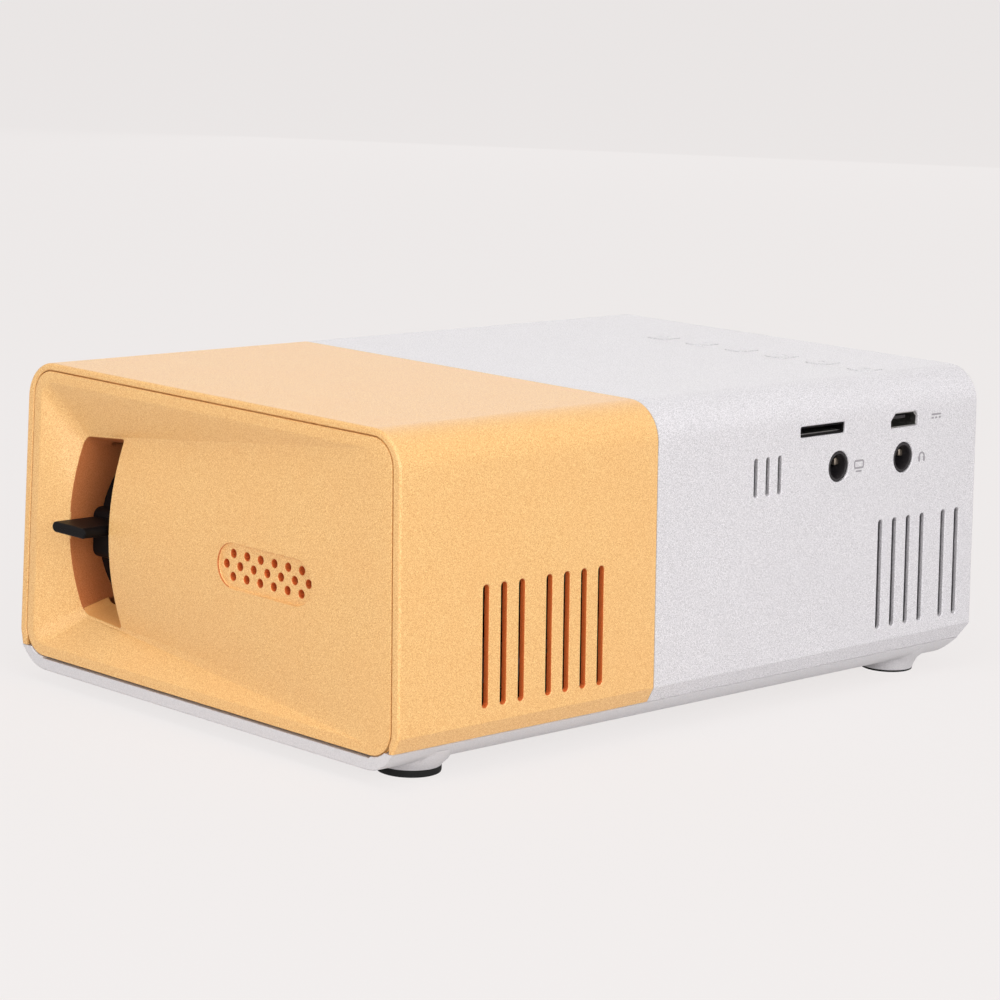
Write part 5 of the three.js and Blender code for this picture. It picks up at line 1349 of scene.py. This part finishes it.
class MakeKeys(bpy.types.Operator):
    """Models the six flat keys with their sunk signs, flanges and stems"""
    bl_idname = "projector.keys"
    bl_label = "Keys"

    def execute(self, context):
        depth = mm(context.scene.projector_small_parts.key_relief)
        signs = (self.power, self.back, self.left, self.pick, self.right, self.menu)
        for name, sign in zip(KEY_NAMES, signs):
            (_, _, stem_low), (_, _, top) = reach(name)
            top -= 0.15
            x, y, _ = middle(name)
            seat = TOP_Z - mm(context.scene.projector_shells.wall) - 0.3
            layers = ((0.7, seat - 0.6), (0.7, seat), (0, seat), (0, top - 0.25), (-0.07, top - 0.09),
                      (-0.25, top))
            key = loft("key", [along("Z", key_outline(name, grow), z) for grow, z in layers])
            add(key, prism("stem", "Z", circle(x, y - 1.3, 1.1, 24), stem_low, seat - 0.3))
            cut(key, joined("sign", sign(x, y, top - depth, top + 1)))
            finished(key, f"{name}_cap", finish("white"), name, [name])
        return {"FINISHED"}

    def bar(self, x, y, low, high, length=1.6, width=0.3):
        outline = rounded(x - width / 2, x + width / 2, y - length / 2, y + length / 2, 0.14, 3)
        return prism("bar", "Z", outline, low, high)

    def arrow(self, x, y, low, high, way):
        outline = [(x + 0.6, y - 0.5 * way), (x, y + 0.7 * way), (x - 0.6, y - 0.5 * way)][::way]
        return prism("arrow", "Z", outline, low, high)

    def hoop(self, x, y, low, high, start=0, end=360):
        whole = end - start == 360
        outer, inner = [arc(x, y, radius, start, end - (10 if whole else 0), 35) for radius in (0.95, 0.65)]
        if whole:
            sides = ((outer, low), (outer, high), (inner, high), (inner, low))
            return loft("hoop", [along("Z", outline, z) for outline, z in sides], closed=True)
        return prism("hoop", "Z", outer + inner[::-1], low, high)

    def power(self, x, y, low, high):
        tick = rounded(x + 0.1, x + 1.25, y - 0.15, y + 0.15, 0.1, 3)
        return [self.hoop(x, y, low, high, 35, 325), prism("tick", "Z", tick, low, high)]

    def back(self, x, y, low, high):
        return [self.bar(x - 0.75, y, low, high), self.arrow(x + 0.2, y, low, high, -1)]

    def left(self, x, y, low, high):
        return [self.arrow(x, y, low, high, -1)]

    def pick(self, x, y, low, high):
        return [self.hoop(x, y, low, high)]

    def right(self, x, y, low, high):
        return [self.arrow(x, y, low, high, 1)]

    def menu(self, x, y, low, high):
        return [self.bar(x + step, y, low, high) for step in (-0.6, 0, 0.6)]


class MakeSigns(bpy.types.Operator):
    """Models the small printed signs beside the sockets: a screen, headphones and a direct-current mark"""
    bl_idname = "projector.signs"
    bl_label = "Printed signs"

    def execute(self, context):
        relief = mm(context.scene.projector_small_parts.sign_relief)

        def printed(outline):
            return on_side("sign", [(outline, -0.05), (outline, relief)])

        x, z = JACK_PLACES[0] - 4.8, JACK_Z - 0.25
        frame = [(rounded(x - 1.2 + i, x + 1.2 - i, z - 0.5 + i, z + 0.9 - i, 0.4 - i, 3), out)
                 for i, out in ((0, -0.05), (0, relief), (0.3, relief), (0.3, -0.05))]
        rings = [[spot(a, half_at(b) + out, b) for a, b in outline] for outline, out in frame]
        screen = [loft("screen", rings, closed=True),
                  printed(rounded(x - 0.7, x + 0.7, z - 1.0, z - 0.74, 0.1, 2))]
        x, z = JACK_PLACES[1] - 4.6, JACK_Z - 0.25
        arch = arc(x, z, 0.78, 0, 180, 16) + arc(x, z, 0.48, 180, 0, 16)
        phones = [printed(arch)]
        phones += [printed(rounded(x + side - 0.25, x + side + 0.25, z - 0.75, z + 0.05, 0.15, 3))
                   for side in (-0.6, 0.6)]
        x, z = middle("power_socket")[0] - 7.9, middle("power_socket")[2]
        current = [printed(rounded(x - 1.2, x + 1.2, z + 0.12, z + 0.4, 0.1, 2))]
        current += [printed(rounded(x + side - 0.28, x + side + 0.28, z - 0.4, z - 0.12, 0.1, 2))
                    for side in (-0.9, 0, 0.9)]
        for name, parts in (("screen_sign", screen), ("headphone_sign", phones), ("current_sign", current)):
            finished(joined(name, parts), name, finish("sign"))
        return {"FINISHED"}


class MakeLens(bpy.types.Operator):
    """Models the projection lens: ribbed bezel, sliding barrel, its two glasses and the retaining ring"""
    bl_idname = "projector.lens"
    bl_label = "Projection lens"

    def execute(self, context):
        centre = (LENS_X, LENS_Z)
        self.make_bezel(centre)
        self.make_barrel(centre)
        for name in ("front_lens", "rear_lens"):
            low, high = reach(name)
            middle_y, radius = (low[1] + high[1]) / 2, (high[0] - low[0]) / 2
            crown = (high[1] - low[1]) / 2 - 1
            bow = [(radius * step / 12, 1 + crown * (1 - (step / 12) ** 2)) for step in range(13)]
            profile = [(r, middle_y - y) for r, y in bow] + [(r, middle_y + y) for r, y in reversed(bow)]
            glass = turned("glass", profile, "Y", centre, 72)
            finished(glass, f"{name}_glass", finish("glass"), "lens_barrel", [name])
        self.make_retainer(centre)
        return {"FINISHED"}

    def make_bezel(self, centre):
        low, high = reach("lens_bezel")
        face, flange = low[1], (high[0] - low[0]) / 2
        cone = []
        for step in range(5):
            radius, place = flange - 1.0 - 0.32 * step, face + 0.02 + 0.45 * step
            cone += [(radius, place), (radius - 0.12, place + 0.33)]
        inside, outside = 15.0, 16.9
        profile = [(inside, high[1]), (inside, face + 2.4), *reversed(cone), (flange - 0.9, face),
                   (flange - 0.25, face), (flange - 0.07, face + 0.08), (flange, face + 0.25),
                   (flange, face + 0.45), (outside, face + 0.45), (outside, high[1])]
        bezel = turned("bezel", profile, "Y", centre, 96)
        finished(bezel, "lens_ring", finish("nylon"), nodes=["lens_bezel"])

    def make_barrel(self, centre):
        low, high = reach("lens_barrel")
        front, back, radius = low[1], high[1], (high[0] - low[0]) / 2
        bore = radius - 1.9
        grooves = []
        for step in range(4):
            place = front + 0.9 + 1.1 * step
            grooves += [(radius, place), (radius - 0.25, place + 0.2), (radius - 0.25, place + 0.6),
                        (radius, place + 0.8)]
        low_glass, high_glass = reach("front_lens")[1][1] - 2.2 + 0.5, reach("rear_lens")[0][1] + 2.2 - 0.5
        profile = [(bore, front + 0.3), (bore + 0.3, front), (radius - 0.3, front), (radius, front + 0.3),
                   *grooves, (radius, back), (bore, back), (bore, high_glass), (bore - 1.1, high_glass),
                   (bore - 1.1, low_glass), (bore, low_glass)]
        barrel = turned("barrel", profile, "Y", centre, 96)
        finished(barrel, "lens_tube", finish("nylon"), "lens_barrel", ["lens_barrel"])

    def make_retainer(self, centre):
        low, high = reach("lens_retainer")
        front, back, radius = low[1], high[1], (high[0] - low[0]) / 2
        profile = [(radius - 1.1, back), (radius - 1.1, front + 0.5), (radius - 0.7, front),
                   (radius - 0.2, front), (radius, front + 0.2), (radius, back)]
        retainer = turned("retainer", profile, "Y", centre, 72)
        for side in (-1, 1):
            x = LENS_X + side * (radius - 0.4)
            cut(retainer, prism("notch", "Y", rounded(x - 0.8, x + 0.8, LENS_Z - 0.7, LENS_Z + 0.7, 0.1, 2),
                                front - 1, front + 0.7))
        finished(retainer, "lens_retaining_ring", finish("nylon"), "lens_barrel",
                 ["lens_retainer"])


class MakeFittings(bpy.types.Operator):
    """Models the remote-control window, the base's cross-head screws and the threaded tripod insert"""
    bl_idname = "projector.fittings"
    bl_label = "Window, screws and insert"

    def execute(self, context):
        self.make_window()
        self.make_screws()
        self.make_insert()
        return {"FINISHED"}

    def make_window(self):
        low, high = reach("ir_window")
        x, _, z = middle("ir_window")
        seat = high[1] - 0.7
        profile = [(0, high[1]), (3.4, high[1]), (3.4, seat), (WINDOW_RADIUS, seat),
                   (WINDOW_RADIUS, low[1] + 0.45), (2.25, low[1] + 0.25), (1.6, low[1] + 0.1),
                   (0.8, low[1] + 0.03), (0, low[1])]
        window = turned("window", profile, "Y", (x, z), 48)
        finished(window, "remote_window", finish("gloss"), nodes=["ir_window"])

    def make_screws(self):
        names = [f"base_screw_{number}" for number in range(1, 5)]
        x, y, _ = middle(names[0])
        low, high = reach(names[0])
        threads = []
        for step in range(10):
            place = low[2] + 2.0 + 0.8 * step
            threads += [(0.9, place), (0.7, place + 0.4)]
        profile = [(0, low[2] + 0.02), (1.2, low[2] + 0.02), (1.75, low[2] + 0.25), (1.97, low[2] + 0.7),
                   (1.97, low[2] + 1.5), (0.9, low[2] + 1.5), *threads, (0.7, high[2] - 0.5), (0, high[2])]
        screw = turned("screw", profile, "Z", (x, y), 40)
        for long, short in ((1.15, 0.22), (0.22, 1.15)):
            arms = rounded(x - long, x + long, y - short, y + short, 0.1, 2)
            cut(screw, prism("recess", "Z", arms, low[2] - 1, low[2] + 0.95))
        for name in names[1:]:
            away = [b - a for a, b in zip((x, y), middle(name))]
            twin = copied(screw, "screw", (*away, 0))
            finished(twin, name.replace("screw", "cross_screw"), finish("steel"), nodes=[name])
        finished(screw, names[0].replace("screw", "cross_screw"), finish("steel"), nodes=names[:1])

    def make_insert(self):
        low, high = reach("tripod_insert")
        x, y, _ = middle("tripod_insert")
        bore, pitch = 3.2, 1.27
        thread = []
        for step in range(3):
            place = low[2] + 0.45 + pitch * step
            thread += [(bore, place), (bore, place + 0.12), (bore + 0.5, place + 0.6),
                       (bore + 0.5, place + 0.72)]
        profile = [(0, high[2]), (4.8, high[2]), (5, high[2] - 0.2), (5, low[2] + 0.1), (4.9, low[2]),
                   (bore + 0.4, low[2]), *thread, (bore, high[2] - 0.8), (0, high[2] - 0.8)]
        insert = turned("insert", profile, "Z", (x, y), 64)
        finished(insert, "threaded_insert", finish("brass"), nodes=["tripod_insert"])


class DressInside(bpy.types.Operator):
    """Gives the parts inside that keep their CAD shape their finishes"""
    bl_idname = "projector.inside"
    bl_label = "Inside parts"

    def execute(self, context):
        for name, nodes in KEPT_NODES.items():
            for node in nodes:
                for slot in frame["nodes"][node].material_slots:
                    slot.material = finish(name)
        return {"FINISHED"}


OPERATORS = [MakeStage, DressInside, MakeOrangeShell, MakeWhiteShell, MakeEndFace, MakeFocusRing, MakeBase,
             MakeFeet, MakeSideSockets, MakeEndSockets, MakeKeys, MakeSigns, MakeLens, MakeFittings]


class ProjectorPanel(bpy.types.Panel):
    """Lists the projector's settings and the operators that build it"""
    bl_idname = "VIEW3D_PT_projector"
    bl_label = "Pocket projector"
    bl_space_type = "VIEW_3D"
    bl_region_type = "UI"
    bl_category = "Projector"

    def draw(self, context):
        for operator in OPERATORS:
            self.layout.operator(operator.bl_idname)
        for group, kind in GROUPS.items():
            for name in kind.__annotations__:
                self.layout.prop(getattr(context.scene, group), name)


def register():
    for kind in (*GROUPS.values(), *OPERATORS, ProjectorPanel):
        bpy.utils.register_class(kind)
    for group, kind in GROUPS.items():
        setattr(bpy.types.Scene, group, PointerProperty(type=kind))


def unregister():
    for group in GROUPS:
        delattr(bpy.types.Scene, group)
    for kind in (ProjectorPanel, *reversed(OPERATORS), *reversed(GROUPS.values())):
        bpy.utils.unregister_class(kind)


def run(operator):
    """Calls an operator by its name in bpy.ops."""
    group, name = operator.bl_idname.split(".")
    getattr(getattr(bpy.ops, group), name)()


def main():
    register()
    for operator in OPERATORS:
        run(operator)


if __name__ == "__main__":
    main()
